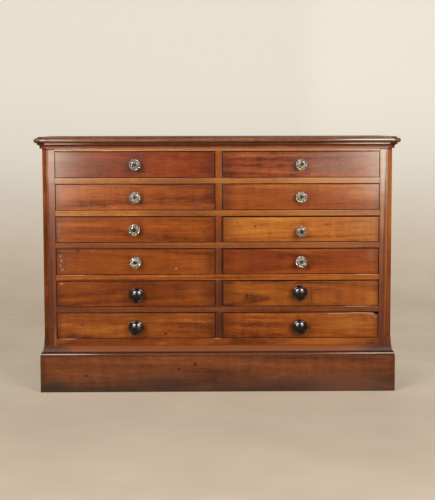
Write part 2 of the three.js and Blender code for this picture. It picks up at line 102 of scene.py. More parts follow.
def paint(code: int) -> Colour:
    """A display colour as the shader wants it.

    Args:
        code: The colour as red, green and blue bytes.

    Returns:
        The linear colour with full cover.
    """
    parts = [((code >> shift) & 0xFF) / 255 for shift in (16, 8, 0)]
    red, green, blue = (
        c / 12.92 if c <= 0.04045 else ((c + 0.055) / 1.055) ** 2.4 for c in parts
    )
    return (red, green, blue, 1.0)


# --------------------------------------------------------------------------- wiring


class Wiring:
    """Adds nodes to one tree and joins their sockets."""

    def __init__(self, tree: NodeTree) -> None:
        """Works on the given tree."""
        self.tree = tree

    def feed(self, socket: Socket, value: object) -> None:
        """Joins a socket to an output, or sets its own value.

        Args:
            socket: The socket that is fed.
            value: The output of another node, or a plain value.
        """
        if isinstance(value, Socket):
            self.tree.links.new(value, socket)
        else:
            socket.default_value = value

    def node(self, kind: str, inputs: dict | None = None, **settings: object) -> Node:
        """Adds one node.

        Args:
            kind: The node's type, without its ShaderNode prefix.
            inputs: Socket names or numbers, with an output or a value for each.
            **settings: Properties of the node itself.

        Returns:
            The new node.
        """
        made = self.tree.nodes.new("ShaderNode" + kind)
        for name, value in settings.items():
            setattr(made, name, value)
        for key, value in (inputs or {}).items():
            self.feed(made.inputs[key], value)
        return made

    def calc(self, operation: str, *values: Value, clamp: bool = False) -> Socket:
        """The result of one Math node on the given values."""
        made = self.node("Math", dict(enumerate(values)), operation=operation, use_clamp=clamp)
        return made.outputs[0]

    def swing(self, value: Value, by: Value, base: Value) -> Socket:
        """A base moved by how far a value stands from one half, times a strength."""
        return self.calc("MULTIPLY_ADD", self.calc("SUBTRACT", value, 0.5), by, base)

    def vector(self, operation: str, *values: object) -> Socket:
        """The vector that one Vector Math node puts out."""
        return self.node("VectorMath", dict(enumerate(values)), operation=operation).outputs[0]

    def measure(self, operation: str, *values: object) -> Socket:
        """The number that one Vector Math node puts out, such as a length."""
        return self.node("VectorMath", dict(enumerate(values)), operation=operation).outputs[1]

    def stretch(self, place: object, by: Sequence[float]) -> Socket:
        """A place scaled along each axis."""
        return self.vector("MULTIPLY", place, tuple(by))

    def scaled(self, vector: Socket, by: Value) -> Socket:
        """A vector or a colour times one number."""
        return self.node("VectorMath", {0: vector, "Scale": by}, operation="SCALE").outputs[0]

    def parts(self, place: Socket) -> Sequence[Socket]:
        """The X, the Y and the Z of a place."""
        return self.node("SeparateXYZ", {0: place}).outputs

    @cached_property
    def here(self) -> Socket:
        """The place on the piece, in object coordinates."""
        return self.node("TexCoord").outputs["Object"]

    def mix(self, share: Value, under: object, over: object, way: str = "MIX") -> Socket:
        """One colour over another.

        Args:
            share: How much of the upper colour shows.
            under: The colour below.
            over: The colour above.
            way: The blend, such as MIX or MULTIPLY.

        Returns:
            The mixed colour.
        """
        made = self.node("Mix", {0: share, 6: under, 7: over}, data_type="RGBA", blend_type=way)
        return made.outputs[2]

    def glazed(self, share: Value, colour: Value, code: int) -> Socket:
        """A colour with a thin glaze of another over a share of it."""
        return self.mix(share, colour, self.mix(1.0, colour, paint(code), "MULTIPLY"))

    def span(self, value: Value, low: Value, high: Value, to_low: Value = 0.0,
             to_high: Value = 1.0) -> Socket:
        """Maps a range smoothly and holds the ends.

        Args:
            value: What is mapped.
            low: The value that gives to_low.
            high: The value that gives to_high.
            to_low: The result at the low end.
            to_high: The result at the high end.

        Returns:
            The mapped value.
        """
        inputs = {0: value, 1: low, 2: high, 3: to_low, 4: to_high}
        return self.node("MapRange", inputs, interpolation_type="SMOOTHSTEP").outputs[0]

    def cloud(self, place: Value, scale: float, detail: float = 2.0, rough: float = 0.5) -> Socket:
        """The grey value of a noise texture at a place."""
        inputs = {"Vector": place, "Scale": scale, "Detail": detail, "Roughness": rough}
        return self.node("TexNoise", inputs).outputs["Fac"]

    def effect(self, tree: NodeTree, **inputs: object) -> Sequence[Socket]:
        """The outputs of a shared effect, with its own values and its place on the piece."""
        return self.node("Group", {"Place": self.here, **inputs}, node_tree=tree).outputs

    def bump(self, strength: float, distance: float, height: Socket) -> Socket:
        """The normal that a height gives a surface."""
        inputs = {"Strength": strength, "Distance": distance, "Height": height}
        return self.node("Bump", inputs).outputs[0]

    def surface(self, inputs: dict[str, object]) -> None:
        """Ends a material with a Principled BSDF of the given values."""
        skin = self.node("BsdfPrincipled", inputs)
        self.node("OutputMaterial", {"Surface": skin.outputs[0]})


def wiring_of(owner: Material | World) -> Wiring:
    """The wiring of a material or a world that has no nodes yet.

    Args:
        owner: The material or the world.

    Returns:
        Its wiring.
    """
    owner.use_nodes = True
    owner.node_tree.nodes.clear()
    return Wiring(owner.node_tree)


def group_tree(name: str, takes: dict[str, str],
               gives: dict[str, str]) -> tuple[Wiring, Sequence[Socket], Sequence[Socket]]:
    """Starts a node group.

    Args:
        name: The group's name.
        takes: Input names with their kinds: Float, Vector or Color.
        gives: Output names with their kinds.

    Returns:
        The group's wiring, the values it is given and the sockets of what it gives.
    """
    tree = bpy.data.node_groups.new(name, "ShaderNodeTree")
    for names, way in ((takes, "INPUT"), (gives, "OUTPUT")):
        for socket, kind in names.items():
            tree.interface.new_socket(socket, in_out=way, socket_type="NodeSocket" + kind)
    given, out = tree.nodes.new("NodeGroupInput"), tree.nodes.new("NodeGroupOutput")
    return Wiring(tree), given.outputs, out.inputs


@dataclass(frozen=True)
class Layer:
    """One noise in the figure of a board that has its grain along X.

    Attributes:
        along: How dense it is along the grain.
        across: How dense it is across the grain.
        detail: How many finer noises it holds.
        rough: How strong those are.
        share: How far it moves the tone.
    """

    along: float
    across: float
    detail: float = 2.0
    rough: float = 0.6
    share: float = 0.0

    def at(self, w: Wiring, place: Socket) -> Socket:
        """The grey value of this noise at a place in the log."""
        spot = w.stretch(place, (self.along, self.across, self.across))
        return w.cloud(spot, 1.0, self.detail, self.rough)


FIBRES = Layer(9.0, 620.0, 3.0, 0.65)
BROAD_STREAKS = Layer(2.2, 26.0, 3.0, share=0.50)
STREAKS = (
    Layer(26.0, 150.0, share=0.34),
    Layer(7.0, 260.0, share=0.32),
    Layer(55.0, 14.0, rough=0.55, share=0.22),
)
PORES = Layer(70.0, 2100.0, 1.0, 0.5)
RIPPLE = Layer(24.0, 8.0, rough=0.5)
SECTION = (0.0, 1.0, 1.0)
PORE_TINT = 0x6A5A50

# The painted sheen across and down the case: where it starts to fade, how far it reaches, how it
# falls.
SHEEN_ACROSS = (0.585, 0.10, -1.35)
SHEEN_DOWN = (0.80, 0.16, -1.9)


class Effects:
    """The effects that several finishes share, each built once as a node group."""

    @staticmethod
    @cache
    def timber() -> NodeTree:
        """Growth rings, streaks, fibres, pores and mottle of a board with its grain along X.

        Returns:
            The group.
        """
        numbers = ("Ring", "Wander", "Contrast", "Fibre", "Pores", "Mottle")
        takes = {"Place": "Vector", "Light": "Color", "Middle": "Color", "Dark": "Color",
                 **dict.fromkeys(numbers, "Float")}
        gives = {"Colour": "Color", "Relief": "Float", "Dullness": "Float"}
        w, given, out = group_tree("timber figure", takes, gives)
        place = given["Place"]
        drift = w.node("TexNoise", {"Vector": w.stretch(place, (1.6, 7.0, 7.0)), "Scale": 1.0})
        centred = w.vector("SUBTRACT", drift.outputs["Color"], (0.5, 0.5, 0.5))
        swayed = w.stretch(w.scaled(centred, given["Wander"]), SECTION)
        radius = w.measure("LENGTH", w.stretch(w.vector("ADD", place, swayed), SECTION))
        turns = w.calc("DIVIDE", radius, given["Ring"])
        along = w.parts(place)[0]
        banded = w.node("CombineXYZ", {0: w.calc("MULTIPLY", along, 1.7), 1: turns,
                                       2: w.calc("MULTIPLY", along, 0.6)}).outputs[0]
        bands = w.cloud(banded, 0.55, 5.0, 0.62)
        phase = w.calc("ADD", turns, w.calc("MULTIPLY", bands, 2.2))
        wave = w.calc("SINE", w.calc("MULTIPLY", phase, 3.1))
        tone = w.swing(w.calc("MULTIPLY_ADD", wave, 0.055, bands), 0.84, 0.5)
        broad, fine = BROAD_STREAKS.at(w, place), FIBRES.at(w, place)
        tone = w.swing(broad, BROAD_STREAKS.share, tone)
        for layer in STREAKS:
            tone = w.swing(layer.at(w, place), layer.share, tone)
        tone = w.swing(fine, given["Fibre"], tone)
        contrast = w.swing(tone, given["Contrast"], 0.5)
        lower = w.mix(w.span(contrast, 0.18, 0.52), given["Dark"], given["Middle"])
        colour = w.mix(w.span(contrast, 0.48, 0.86), lower, given["Light"])
        open_pore = w.span(PORES.at(w, place), 0.60, 0.70)
        shade = w.calc("MULTIPLY", open_pore, given["Pores"])
        colour = w.glazed(shade, colour, PORE_TINT)
        lift = w.swing(RIPPLE.at(w, place), given["Mottle"], 1.0)
        w.feed(out["Colour"], w.scaled(colour, lift))
        w.feed(out["Relief"], w.calc("SUBTRACT", w.calc("MULTIPLY", fine, 0.5), open_pore))
        w.feed(out["Dullness"], w.calc("ADD", w.calc("MULTIPLY", broad, 0.5), shade))
        return w.tree

    @staticmethod
    @cache
    def mark() -> NodeTree:
        """A ragged round or long mark, such as a knot, a stain, a worn patch, a painted highlight,
        a painted sheen and a painted shadow.

        Returns:
            The group.
        """
        takes = {"Place": "Vector", "Middle": "Vector", "Reach": "Vector", "Ragged": "Float",
                 "Soft": "Float"}
        w, given, out = group_tree("mark", takes, {"Mask": "Float"})
        gone = w.vector("SUBTRACT", given["Place"], given["Middle"])
        away = w.measure("LENGTH", w.vector("DIVIDE", gone, given["Reach"]))
        rag = w.cloud(w.stretch(given["Place"], (60.0, 60.0, 150.0)), 1.0, 4.0, 0.65)
        inner = w.calc("SUBTRACT", 1.0, given["Soft"])
        w.feed(out["Mask"], w.span(w.swing(rag, given["Ragged"], away), inner, 1.0, 1.0, 0.0))
        return w.tree

    @staticmethod
    @cache
    def rim() -> NodeTree:
        """How far a point of a face is from the face's nearest edge, seen from the front.

        Returns:
            The group.
        """
        takes = {"Place": "Vector", "Middle": "Vector", "Half": "Vector"}
        w, given, out = group_tree("rim distance", takes, {"Distance": "Float"})
        gone = w.vector("ABSOLUTE", w.vector("SUBTRACT", given["Place"], given["Middle"]))
        across, _, up = w.parts(w.vector("SUBTRACT", given["Half"], gone))
        w.feed(out["Distance"], w.calc("SMOOTH_MIN", across, up, 4 * MM))
        return w.tree

    @staticmethod
    @cache
    def painted_sheen() -> NodeTree:
        """Painted sheen: a pale colour on the flat front towards the upper outer corners, where the
        polish would catch the lamps.

        Returns:
            The group.
        """
        w, given, out = group_tree("painted sheen on the polish", {"Place": "Vector", "Amount": "Float"},
                                   {"Mask": "Float"})
        across, depth, height = w.parts(given["Place"])
        outward = w.calc("ABSOLUTE", across)
        mask = w.span(depth, CASE_FRONT + 1 * MM, CASE_FRONT + 4 * MM, 1.0, 0.0)
        for way, (start, reach, power) in ((outward, SHEEN_ACROSS), (height, SHEEN_DOWN)):
            gone = w.calc("MAXIMUM", w.calc("SUBTRACT", start, way), 0.0)
            away = w.calc("DIVIDE", gone, reach)
            fall = w.calc("POWER", w.calc("MULTIPLY_ADD", away, away, 1.0), power)
            mask = w.calc("MULTIPLY", mask, fall)
        blot = w.cloud(w.stretch(given["Place"], (5.0, 5.0, 22.0)), 1.0, 4.0, 0.6)
        mask = w.calc("MULTIPLY", mask, w.span(across, -0.1, 0.1, 0.84, 1.04))
        mask = w.calc("MULTIPLY", mask, w.span(blot, 0.25, 0.75, 0.7, 1.2))
        w.feed(out["Mask"], w.calc("MULTIPLY", mask, given["Amount"], clamp=True))
        return w.tree

    @staticmethod
    @cache
    def grime_and_shade() -> NodeTree:
        """Old polish and dirt gathered in hollows, quirks and corners, with painted shade there,
        from how shut in each point is.

        Returns:
            The group.
        """
        takes = {"Place": "Vector", "Reach": "Float", "Amount": "Float"}
        w, given, out = group_tree("grime_and_shade", takes, {"Mask": "Float"})
        shut = w.node("AmbientOcclusion", {"Distance": given["Reach"]}, samples=6)
        hollow = w.span(shut.outputs["AO"], 0.92, 0.35)
        blot = w.cloud(given["Place"], 34.0, 4.0, 0.6)
        patchy = w.calc("MULTIPLY", hollow, w.span(blot, 0.25, 0.6, 0.45, 1.0))
        w.feed(out["Mask"], w.calc("MULTIPLY", patchy, given["Amount"], clamp=True))
        return w.tree

    @staticmethod
    @cache
    def arris() -> NodeTree:
        """Rubbed places along the edges of a piece.

        Returns:
            The group.
        """
        takes = {"Place": "Vector", "Radius": "Float", "Amount": "Float"}
        w, given, out = group_tree("rubbed arris", takes, {"Mask": "Float"})
        eased_way = w.node("Bevel", {"Radius": given["Radius"]}, samples=4).outputs[0]
        own_way = w.node("NewGeometry").outputs["Normal"]
        edge = w.span(w.measure("DOT_PRODUCT", eased_way, own_way), 0.995, 0.93)
        blot = w.cloud(given["Place"], 46.0, 4.0, 0.7)
        patchy = w.calc("MULTIPLY", edge, w.span(blot, 0.32, 0.6, 0.2, 1.0))
        w.feed(out["Mask"], w.calc("MULTIPLY", patchy, given["Amount"], clamp=True))
        return w.tree


# ------------------------------------------------------------------------- finishes

# Colours that the woods share: the painted sheen on the polish, and glazes over a wood's own
# colour.
SHEEN_TINT = 0xF6E2D2
# The glaze of dirt and painted shade in the hollows.
GRIME_AND_SHADE = 0x4A3A34
RIM = 0x5C4A42
DUST = 0xD09A6C


@dataclass(frozen=True)
class Cut:
    """How a board was taken from its log.

    Attributes:
        grain: The way its fibres run.
        pith: Where the middle of the log lay, across the board from its middle.
        lean: How far the log leant from the board's length, in degrees.
        along: The board's place along the log.
    """

    grain: Grain = Grain.ACROSS
    pith: tuple[float, float] = (0.09, 0.02)
    lean: tuple[float, float] = (0.0, 1.2)
    along: float = 0.0

    def mapping(self, middle: Vector) -> dict[str, object]:
        """The values of the Mapping node that puts a board at its place in the log.

        Args:
            middle: The middle of the board.

        Returns:
            The node's Location and Rotation.
        """
        lean = Euler((0.0, math.radians(self.lean[0]), math.radians(self.lean[1])))
        turn = lean.to_matrix() @ self.grain.turn().to_matrix()
        target = Vector((self.along, self.pith[0], self.pith[1]))
        return {"Location": target - turn @ middle, "Rotation": turn.to_euler()}


@dataclass(frozen=True)
class Mark:
    """One mark on a face, placed from the middle of the piece's front.

    Attributes:
        across: Metres to the right of the middle.
        up: Metres above the middle.
        reach: Half its width and half its height.
        colour: Its colour.
        cover: How much of it shows, from 0 to 1.
        ragged: How uneven its outline is.
        soft: How far its rim fades, as a share of its size.
        deep: Half its depth behind the foremost plane of the piece.
    """

    across: float
    up: float
    reach: tuple[float, float]
    colour: int
    cover: float = 0.7
    ragged: float = 0.6
    soft: float = 0.6
    deep: float = 0.012


@dataclass(frozen=True)
class WoodFinish:
    """A polished or bare timber.

    Attributes:
        name: What a maker would call it.
        light: Colour of the palest figure.
        middle: Colour of most of the board.
        dark: Colour of the darkest streaks.
        ring: Width of a growth ring.
        wander: How far the rings stray.
        contrast: Strength of the figure.
        fibre: Strength of the fine fibres.
        pores: Strength of the open pores.
        mottle: Strength of the light and dark bands across the grain.
        dull: Roughness of the surface.
        polish: Weight of the polish over it.
        gloss: Roughness of that polish.
        grime_and_shade: Dirt and painted shade in the hollows.
        rubbed: Wear along the arrises.
        worn: Colour of a worn arris.
        painted_sheen: Strength of the painted sheen at the upper outer corners.
        relief: Height of the grain.
    """

    name: str
    light: int
    middle: int
    dark: int
    ring: float = 0.006
    wander: float = 0.02
    contrast: float = 1.5
    fibre: float = 0.25
    pores: float = 0.5
    mottle: float = 0.2
    dull: float = 0.34
    polish: float = 0.55
    gloss: float = 0.18
    grime_and_shade: float = 0.8
    rubbed: float = 0.35
    worn: int = 0xC08A5C
    painted_sheen: float = 0.64
    relief: float = 0.08

    def material(self, name: str, boards: Sequence["Region"], front: "Front | None" = None
                 ) -> Material:
        """Builds this finish for one piece.

        Args:
            name: The piece's name.
            boards: The boards of the piece, the first one under all the others.
            front: The front of the piece with its marks, where it has one.

        Returns:
            The material.
        """
        made = bpy.data.materials.new(f"{self.name}.{name}")
        w = wiring_of(made)
        figure = w.effect(
            Effects.timber(), Place=self.laid(w, boards), Light=paint(self.light),
            Middle=paint(self.middle), Dark=paint(self.dark), Ring=self.ring, Wander=self.wander,
            Contrast=self.contrast, Fibre=self.fibre, Pores=self.pores, Mottle=self.mottle)
        colour, coat = figure["Colour"], self.polish
        roughness = w.calc("MULTIPLY_ADD", figure["Dullness"], 0.16, self.dull - 0.04)
        if front is not None:
            colour, roughness = front.wired(w, colour, roughness)
        # Painted sheen towards the upper outer corners of the front.
        if self.painted_sheen:
            pale = w.effect(Effects.painted_sheen(), Amount=self.painted_sheen)["Mask"]
            colour = w.mix(pale, colour, paint(SHEEN_TINT))
        rubbed = w.effect(Effects.arris(), Radius=2.2 * MM, Amount=self.rubbed)
        colour = w.mix(rubbed["Mask"], colour, paint(self.worn))
        # Dirt and painted shade in the hollows, from ambient occlusion.
        grime_and_shade = w.effect(Effects.grime_and_shade(), Reach=12 * MM, Amount=self.grime_and_shade)["Mask"]
        colour = w.glazed(grime_and_shade, colour, GRIME_AND_SHADE)
        if front is not None:
            colour = front.marked(w, colour, front.lines)
            colour, roughness, coat = front.dusted(w, colour, roughness, coat)
        roughness = w.calc("MULTIPLY_ADD", grime_and_shade, 0.25, roughness, clamp=True)
        w.surface({
            "Base Color": colour, "Roughness": roughness, "IOR": 1.5, "Specular IOR Level": 0.25,
            "Coat Weight": coat, "Coat Roughness": self.gloss,
            "Normal": w.bump(self.relief, 0.4 * MM, figure["Relief"])})
        return made

    @staticmethod
    def laid(w: Wiring, boards: Sequence["Region"]) -> Socket:
        """Lays every board of a piece in its own log.

        Args:
            w: The wiring of the material.
            boards: The boards, the first one under all the others.

        Returns:
            The place in the log of the board that a point belongs to.
        """
        place = None
        for board in boards:
            laying = {"Vector": w.here, **board.cut.mapping(board.middle)}
            own = w.node("Mapping", laying).outputs[0]
            place = own if place is None else board.over(w, place, own)
        return place


@dataclass(frozen=True)
class Region:
    """One board of a piece that a finish covers: where it is and how it was cut.

    Attributes:
        cut: How the board was taken from its log.
        middle: The board's middle.
        low: The corner from which this board takes over from those before it.
        high: The opposite corner.
    """

    cut: Cut
    middle: Vector
    low: Vector | None = None
    high: Vector | None = None

    def over(self, w: Wiring, under: Socket, own: Socket) -> Socket:
        """Lays this board's place over the others inside its own corners.

        Args:
            w: The wiring of the material.
            under: The place that the boards before it gave.
            own: The place in this board's log.

        Returns:
            The place, inside and outside this board.
        """
        middle, half = (self.low + self.high) / 2, (self.high - self.low) / 2
        gone = w.vector("ABSOLUTE", w.vector("SUBTRACT", w.here, tuple(middle)))
        across, depth, up = w.parts(w.vector("SUBTRACT", tuple(half), gone))
        room = w.calc("MINIMUM", w.calc("MINIMUM", across, depth), up)
        inside = w.calc("GREATER_THAN", room, 0.0)
        made = w.node("Mix", {0: inside, 4: under, 5: own}, data_type="VECTOR")
        return made.outputs[1]


@dataclass(frozen=True)
class Front:
    """The show face of a piece, with what use has left on it and the light and shade painted on it.

    Attributes:
        low: The lowest corner of the piece.
        high: The highest corner.
        marks: The marks on the face.
        lines: Dark lines, painted shade and painted highlights along joints and arrises, over
            everything else.
        dust: How dull the upper face is.
        rim: How dark the face gets towards its edges.
        rim_width: How far that darkening reaches in.
        foot: How dark the face gets towards its foot.
        foot_reach: How far up from its foot that reaches.
        foot_colour: The colour it gets there.
        plane_tint: The colour that tints the flat front, but not a canted arris beside it.
    """

    low: Vector
    high: Vector
    marks: tuple[Mark, ...] = ()
    lines: tuple[Mark, ...] = ()
    dust: float = 0.0
    rim: float = 0.0
    rim_width: float = 9 * MM
    foot: float = 0.0
    foot_reach: float = 85 * MM
    foot_colour: int = 0x3E2C24
    plane_tint: int | None = None

    @classmethod
    def of(cls, node: str, *looks: tuple[Mark, ...], **other: float) -> "Front":
        """The show face of a CAD node, with its marks, its lines and its other looks."""
        return cls(*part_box(node), *looks, **other)

    def marked(self, w: Wiring, colour: Socket, marks: Sequence[Mark]) -> Socket:
        """Lays marks over a colour.

        Args:
            w: The wiring of the material.
            colour: The colour under them.
            marks: The marks.

        Returns:
            The marked colour.
        """
        middle = (self.low + self.high) / 2
        for mark in marks:
            spot = (middle.x + mark.across, self.low.y, middle.z + mark.up)
            reach = (mark.reach[0], mark.deep, mark.reach[1])
            mask = w.effect(Effects.mark(), Middle=spot, Reach=reach,
                            Ragged=mark.ragged, Soft=mark.soft)["Mask"]
            colour = w.mix(w.calc("MULTIPLY", mask, mark.cover), colour, paint(mark.colour))
        return colour

    def wired(self, w: Wiring, colour: Socket,
              roughness: Socket) -> tuple[Socket, Socket]:
        """Adds the tints, the marks and the dark rim to a finish.

        Args:
            w: The wiring of the material.
            colour: The bare wood's colour.
            roughness: Its roughness.

        Returns:
            The marked colour and roughness.
        """
        if self.plane_tint is not None:
            depth = w.parts(w.here)[1]
            plane = w.span(depth, self.low.y + 0.6 * MM, self.low.y + 2 * MM, 1.0, 0.0)
            colour = w.glazed(plane, colour, self.plane_tint)
        if self.foot:
            scuff = w.cloud(w.stretch(w.here, (7.0, 7.0, 20.0)), 1.0, 4.0, 0.65)
            raised = w.swing(scuff, -self.foot_reach, w.parts(w.here)[2])
            top, bottom = self.low.z + self.foot_reach, self.low.z - 0.06 * self.foot_reach
            low = w.span(raised, top, bottom, 0.0, self.foot)
            colour = w.mix(low, colour, paint(self.foot_colour))
            roughness = w.calc("MULTIPLY_ADD", low, 0.3, roughness)
        colour = self.marked(w, colour, self.marks)
        if self.rim:
            middle, half = (self.low + self.high) / 2, (self.high - self.low) / 2
            near = w.effect(Effects.rim(), Middle=tuple(middle),
                            Half=tuple(half))["Distance"]
            dark = w.span(near, self.rim_width, 0.0, 0.0, self.rim)
            colour = w.glazed(dark, colour, RIM)
            roughness = w.calc("MULTIPLY_ADD", dark, 0.15, roughness)
        return colour, roughness

    def dusted(self, w: Wiring, colour: Socket, roughness: Socket,
               polish: float) -> tuple[Socket, Socket, Value]:
        """Dulls the upper face, where dust lies on the polish.

        Args:
            w: The wiring of the material.
            colour: The colour without the dust.
            roughness: The roughness without it.
            polish: The weight of the polish.

        Returns:
            The colour, the roughness and the weight of the polish that still shines.
        """
        if not self.dust:
            return colour, roughness, polish
        level = self.high.z
        dust = w.span(w.parts(w.here)[2], level - 0.6 * MM, level - 0.1 * MM, 0.0, self.dust)
        colour = w.mix(dust, colour, w.mix(0.5, colour, paint(DUST)))
        roughness = w.calc("MULTIPLY_ADD", dust, 0.45, roughness)
        return colour, roughness, w.calc("MULTIPLY_ADD", dust, -0.9 * polish, polish)


@dataclass(frozen=True)
class EbonyFinish:
    """Stained and polished black wood of the turned knobs."""

    ground: int = 0x211712
    rubbed: int = 0x4C3526
    worn: int = 0x5A4434
    # Colour of the dirt and painted shade in the hollows.
    dirt_and_shade: int = 0x0B0908

    def material(self, name: str) -> Material:
        """Builds the finish, with the stain rubbed brown in places.

        Args:
            name: The piece's name.

        Returns:
            The material.
        """
        made = bpy.data.materials.new(f"ebonised.{name}")
        w = wiring_of(made)
        blot = w.cloud(w.here, 55.0, 4.0, 0.6)
        tone = w.swing(Layer(60.0, 500.0, 3.0, 0.5).at(w, w.here), 0.5, blot)
        colour = w.mix(w.span(tone, 0.42, 0.72), paint(self.ground), paint(self.rubbed))
        rubbed = w.effect(Effects.arris(), Radius=1.6 * MM, Amount=0.5)["Mask"]
        colour = w.mix(rubbed, colour, paint(self.worn))
        # Dirt and painted shade in the hollows, from ambient occlusion.
        grime_and_shade = w.effect(Effects.grime_and_shade(), Reach=8 * MM, Amount=0.6)["Mask"]
        colour = w.mix(grime_and_shade, colour, paint(self.dirt_and_shade))
        w.surface({
            "Base Color": colour, "Roughness": w.span(blot, 0.3, 0.7, 0.12, 0.24), "IOR": 1.6,
            "Coat Weight": 1.0, "Coat Roughness": 0.05, "Coat IOR": 1.6,
            "Normal": w.bump(0.05, 0.3 * MM, tone)})
        return made


@dataclass(frozen=True)
class GlassFinish:
    """Old pressed and cut glass, a little warm, with smears of polish on it."""

    tint: int = 0xF8F4E8
    smeared: int = 0xD8D2BA
    # Colour of the dirt and painted shade in the hollows.
    dirt_and_shade: int = 0x6A5E48
    clear: float = 0.9

    def material(self, name: str) -> Material:
        """Builds the finish, cloudy in places and rubbed on its edges.

        Args:
            name: The piece's name.

        Returns:
            The material.
        """
        made = bpy.data.materials.new(f"cut glass.{name}")
        w = wiring_of(made)
        smear = w.cloud(w.here, 90.0, 3.0, 0.6)
        rubbed = w.effect(Effects.arris(), Radius=1 * MM, Amount=0.6)["Mask"]
        colour = w.mix(w.span(smear, 0.4, 0.75, 0.0, 0.35), paint(self.tint), paint(self.smeared))
        # Dirt and painted shade in the hollows, from ambient occlusion.
        grime_and_shade = w.effect(Effects.grime_and_shade(), Reach=6 * MM, Amount=0.5)["Mask"]
        colour = w.mix(grime_and_shade, colour, paint(self.dirt_and_shade))
        rough = w.calc("MULTIPLY_ADD", rubbed, 0.2, w.span(smear, 0.4, 0.8, 0.03, 0.12))
        w.surface({
            "Base Color": colour, "Roughness": rough, "IOR": 1.52, "Metallic": 0.0,
            "Transmission Weight": self.clear, "Coat Weight": 0.5, "Coat Roughness": 0.03,
            "Normal": w.bump(0.08, 0.4 * MM, smear)})
        return made


@dataclass(frozen=True)
class MetalFinish:
    """Old brass or iron of the fittings."""

    name: str
    bright: int
    tarnish: int
    dull: float = 0.35

    def material(self, name: str) -> Material:
        """Builds the finish, tarnished in blotches and bright on the edges.

        Args:
            name: The piece's name.

        Returns:
            The material.
        """
        made = bpy.data.materials.new(f"{self.name}.{name}")
        w = wiring_of(made)
        blot = w.cloud(w.here, 240.0, 4.0, 0.65)
        scratch = w.cloud(w.stretch(w.here, (300.0, 300.0, 3000.0)), 1.0)
        tarnished = w.span(blot, 0.35, 0.65, 0.2, 0.85)
        colour = w.mix(tarnished, paint(self.bright), paint(self.tarnish))
        rubbed = w.effect(Effects.arris(), Radius=0.8 * MM, Amount=0.9)["Mask"]
        colour = w.mix(rubbed, colour, paint(self.bright))
        w.surface({
            "Base Color": colour, "Metallic": 1.0,
            "Roughness": w.calc("MULTIPLY_ADD", scratch, 0.2, self.dull),
            "Normal": w.bump(0.15, 0.2 * MM, scratch)})
        return made


PINE = WoodFinish("drawer pine", 0xC79C66, 0xB08350, 0x84582E, ring=0.0045, contrast=1.6,
                  fibre=0.18, pores=0.15, mottle=0.08, dull=0.62, polish=0.0, grime_and_shade=0.9,
                  rubbed=0.2, worn=0xD8B588, painted_sheen=0.0, relief=0.35)
BACK_PINE = WoodFinish("back pine", 0xBC9462, 0x9C744A, 0x6C4A2C, ring=0.006, contrast=1.4,
                       fibre=0.3, pores=0.2, mottle=0.1, dull=0.72, polish=0.0, grime_and_shade=0.8,
                       rubbed=0.3, worn=0xA9885E, painted_sheen=0.0, relief=0.5)
BRASS = MetalFinish("old brass", 0xB9975A, 0x6A4E2A, 0.3)
IRON = MetalFinish("dark iron", 0x6A6460, 0x2A2422, 0.45)


# --------------------------------------------------------------------------- pieces


def middle_of(node: str) -> Vector:
    """The middle of a CAD node's box."""
    low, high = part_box(node)
    return (low + high) / 2


def single_board(node: str, cut: Cut) -> list[Region]:
    """The one board that a CAD node is made of."""
    return [Region(cut, middle_of(node))]


def merged_copy(node: str) -> BMesh:
    """A copy of a CAD node's mesh with its corners joined and its flat faces made whole.

    Args:
        node: The CAD node.

    Returns:
        The copy, as a mesh in the making.
    """
    bm = bmesh.new()
    bm.from_mesh(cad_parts[node].data)
    bmesh.ops.remove_doubles(bm, verts=bm.verts, dist=CAD_WELD)
    bmesh.ops.dissolve_limit(bm, angle_limit=FLAT_TURN, verts=bm.verts, edges=bm.edges,
                             use_dissolve_boundaries=False)
    return bm


def mesh_of(bm: BMesh, name: str) -> Mesh:
    """Turns a mesh in the making into a mesh.

    Args:
        bm: The mesh in the making. It is freed.
        name: The mesh's name.

    Returns:
        The mesh.
    """
    mesh = bpy.data.meshes.new(name)
    bm.to_mesh(mesh)
    bm.free()
    return mesh


def linked(name: str, data: ID) -> Object:
    """Puts a mesh, a light or a camera into the scene.

    Args:
        name: The object's name.
        data: What the object shows.

    Returns:
        The new object.
    """
    made = bpy.data.objects.new(name, data)
    bpy.context.scene.collection.objects.link(made)
    return made


def smoothed(mesh: Mesh) -> None:
    """Lets every face of a mesh be shaded smoothly."""
    mesh.polygons.foreach_set("use_smooth", [True] * len(mesh.polygons))


def finished(bm: BMesh, name: str, body: str, material: Material,
             replaces: str | None = None, crease: float = 32.0,
             weighted: bool = True) -> None:
    """Makes a piece of a mesh and lets it ride on its body.

    Args:
        bm: The mesh in the making, already in its place. It is freed.
        name: The piece's name.
        body: The CAD body that it moves with.
        material: Its material.
        replaces: The CAD node that it stands for, where there is one.
        crease: Edges that turn more than this, in degrees, stay sharp.
        weighted: Whether large faces keep their own direction beside rounded arrises.
    """
    mesh = mesh_of(bm, name)
    for layer in ("custom_normal", "sharp_edge", "sharp_face"):
        if layer in mesh.attributes:
            mesh.attributes.remove(mesh.attributes[layer])
    while mesh.uv_layers:
        mesh.uv_layers.remove(mesh.uv_layers[0])
    smoothed(mesh)
    mesh.set_sharp_from_angle(angle=math.radians(crease))
    mesh.materials.append(material)
    piece = linked(name, mesh)
    if weighted:
        even = piece.modifiers.new("even faces", "WEIGHTED_NORMAL")
        even.keep_sharp = True
        even.weight = 90
    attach(piece, body)
    if replaces:
        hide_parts(replaces)
    log.info("%s: %d faces on %s", name, len(mesh.polygons), body)


def dress(node: str, material: Material) -> None:
    """Gives a CAD node that stays in view its finish.

    Args:
        node: The CAD node.
        material: Its finish.
    """
    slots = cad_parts[node].data.materials
    slots.clear()
    slots.append(material)
    log.info("%s: dressed in %s", node, material.name)


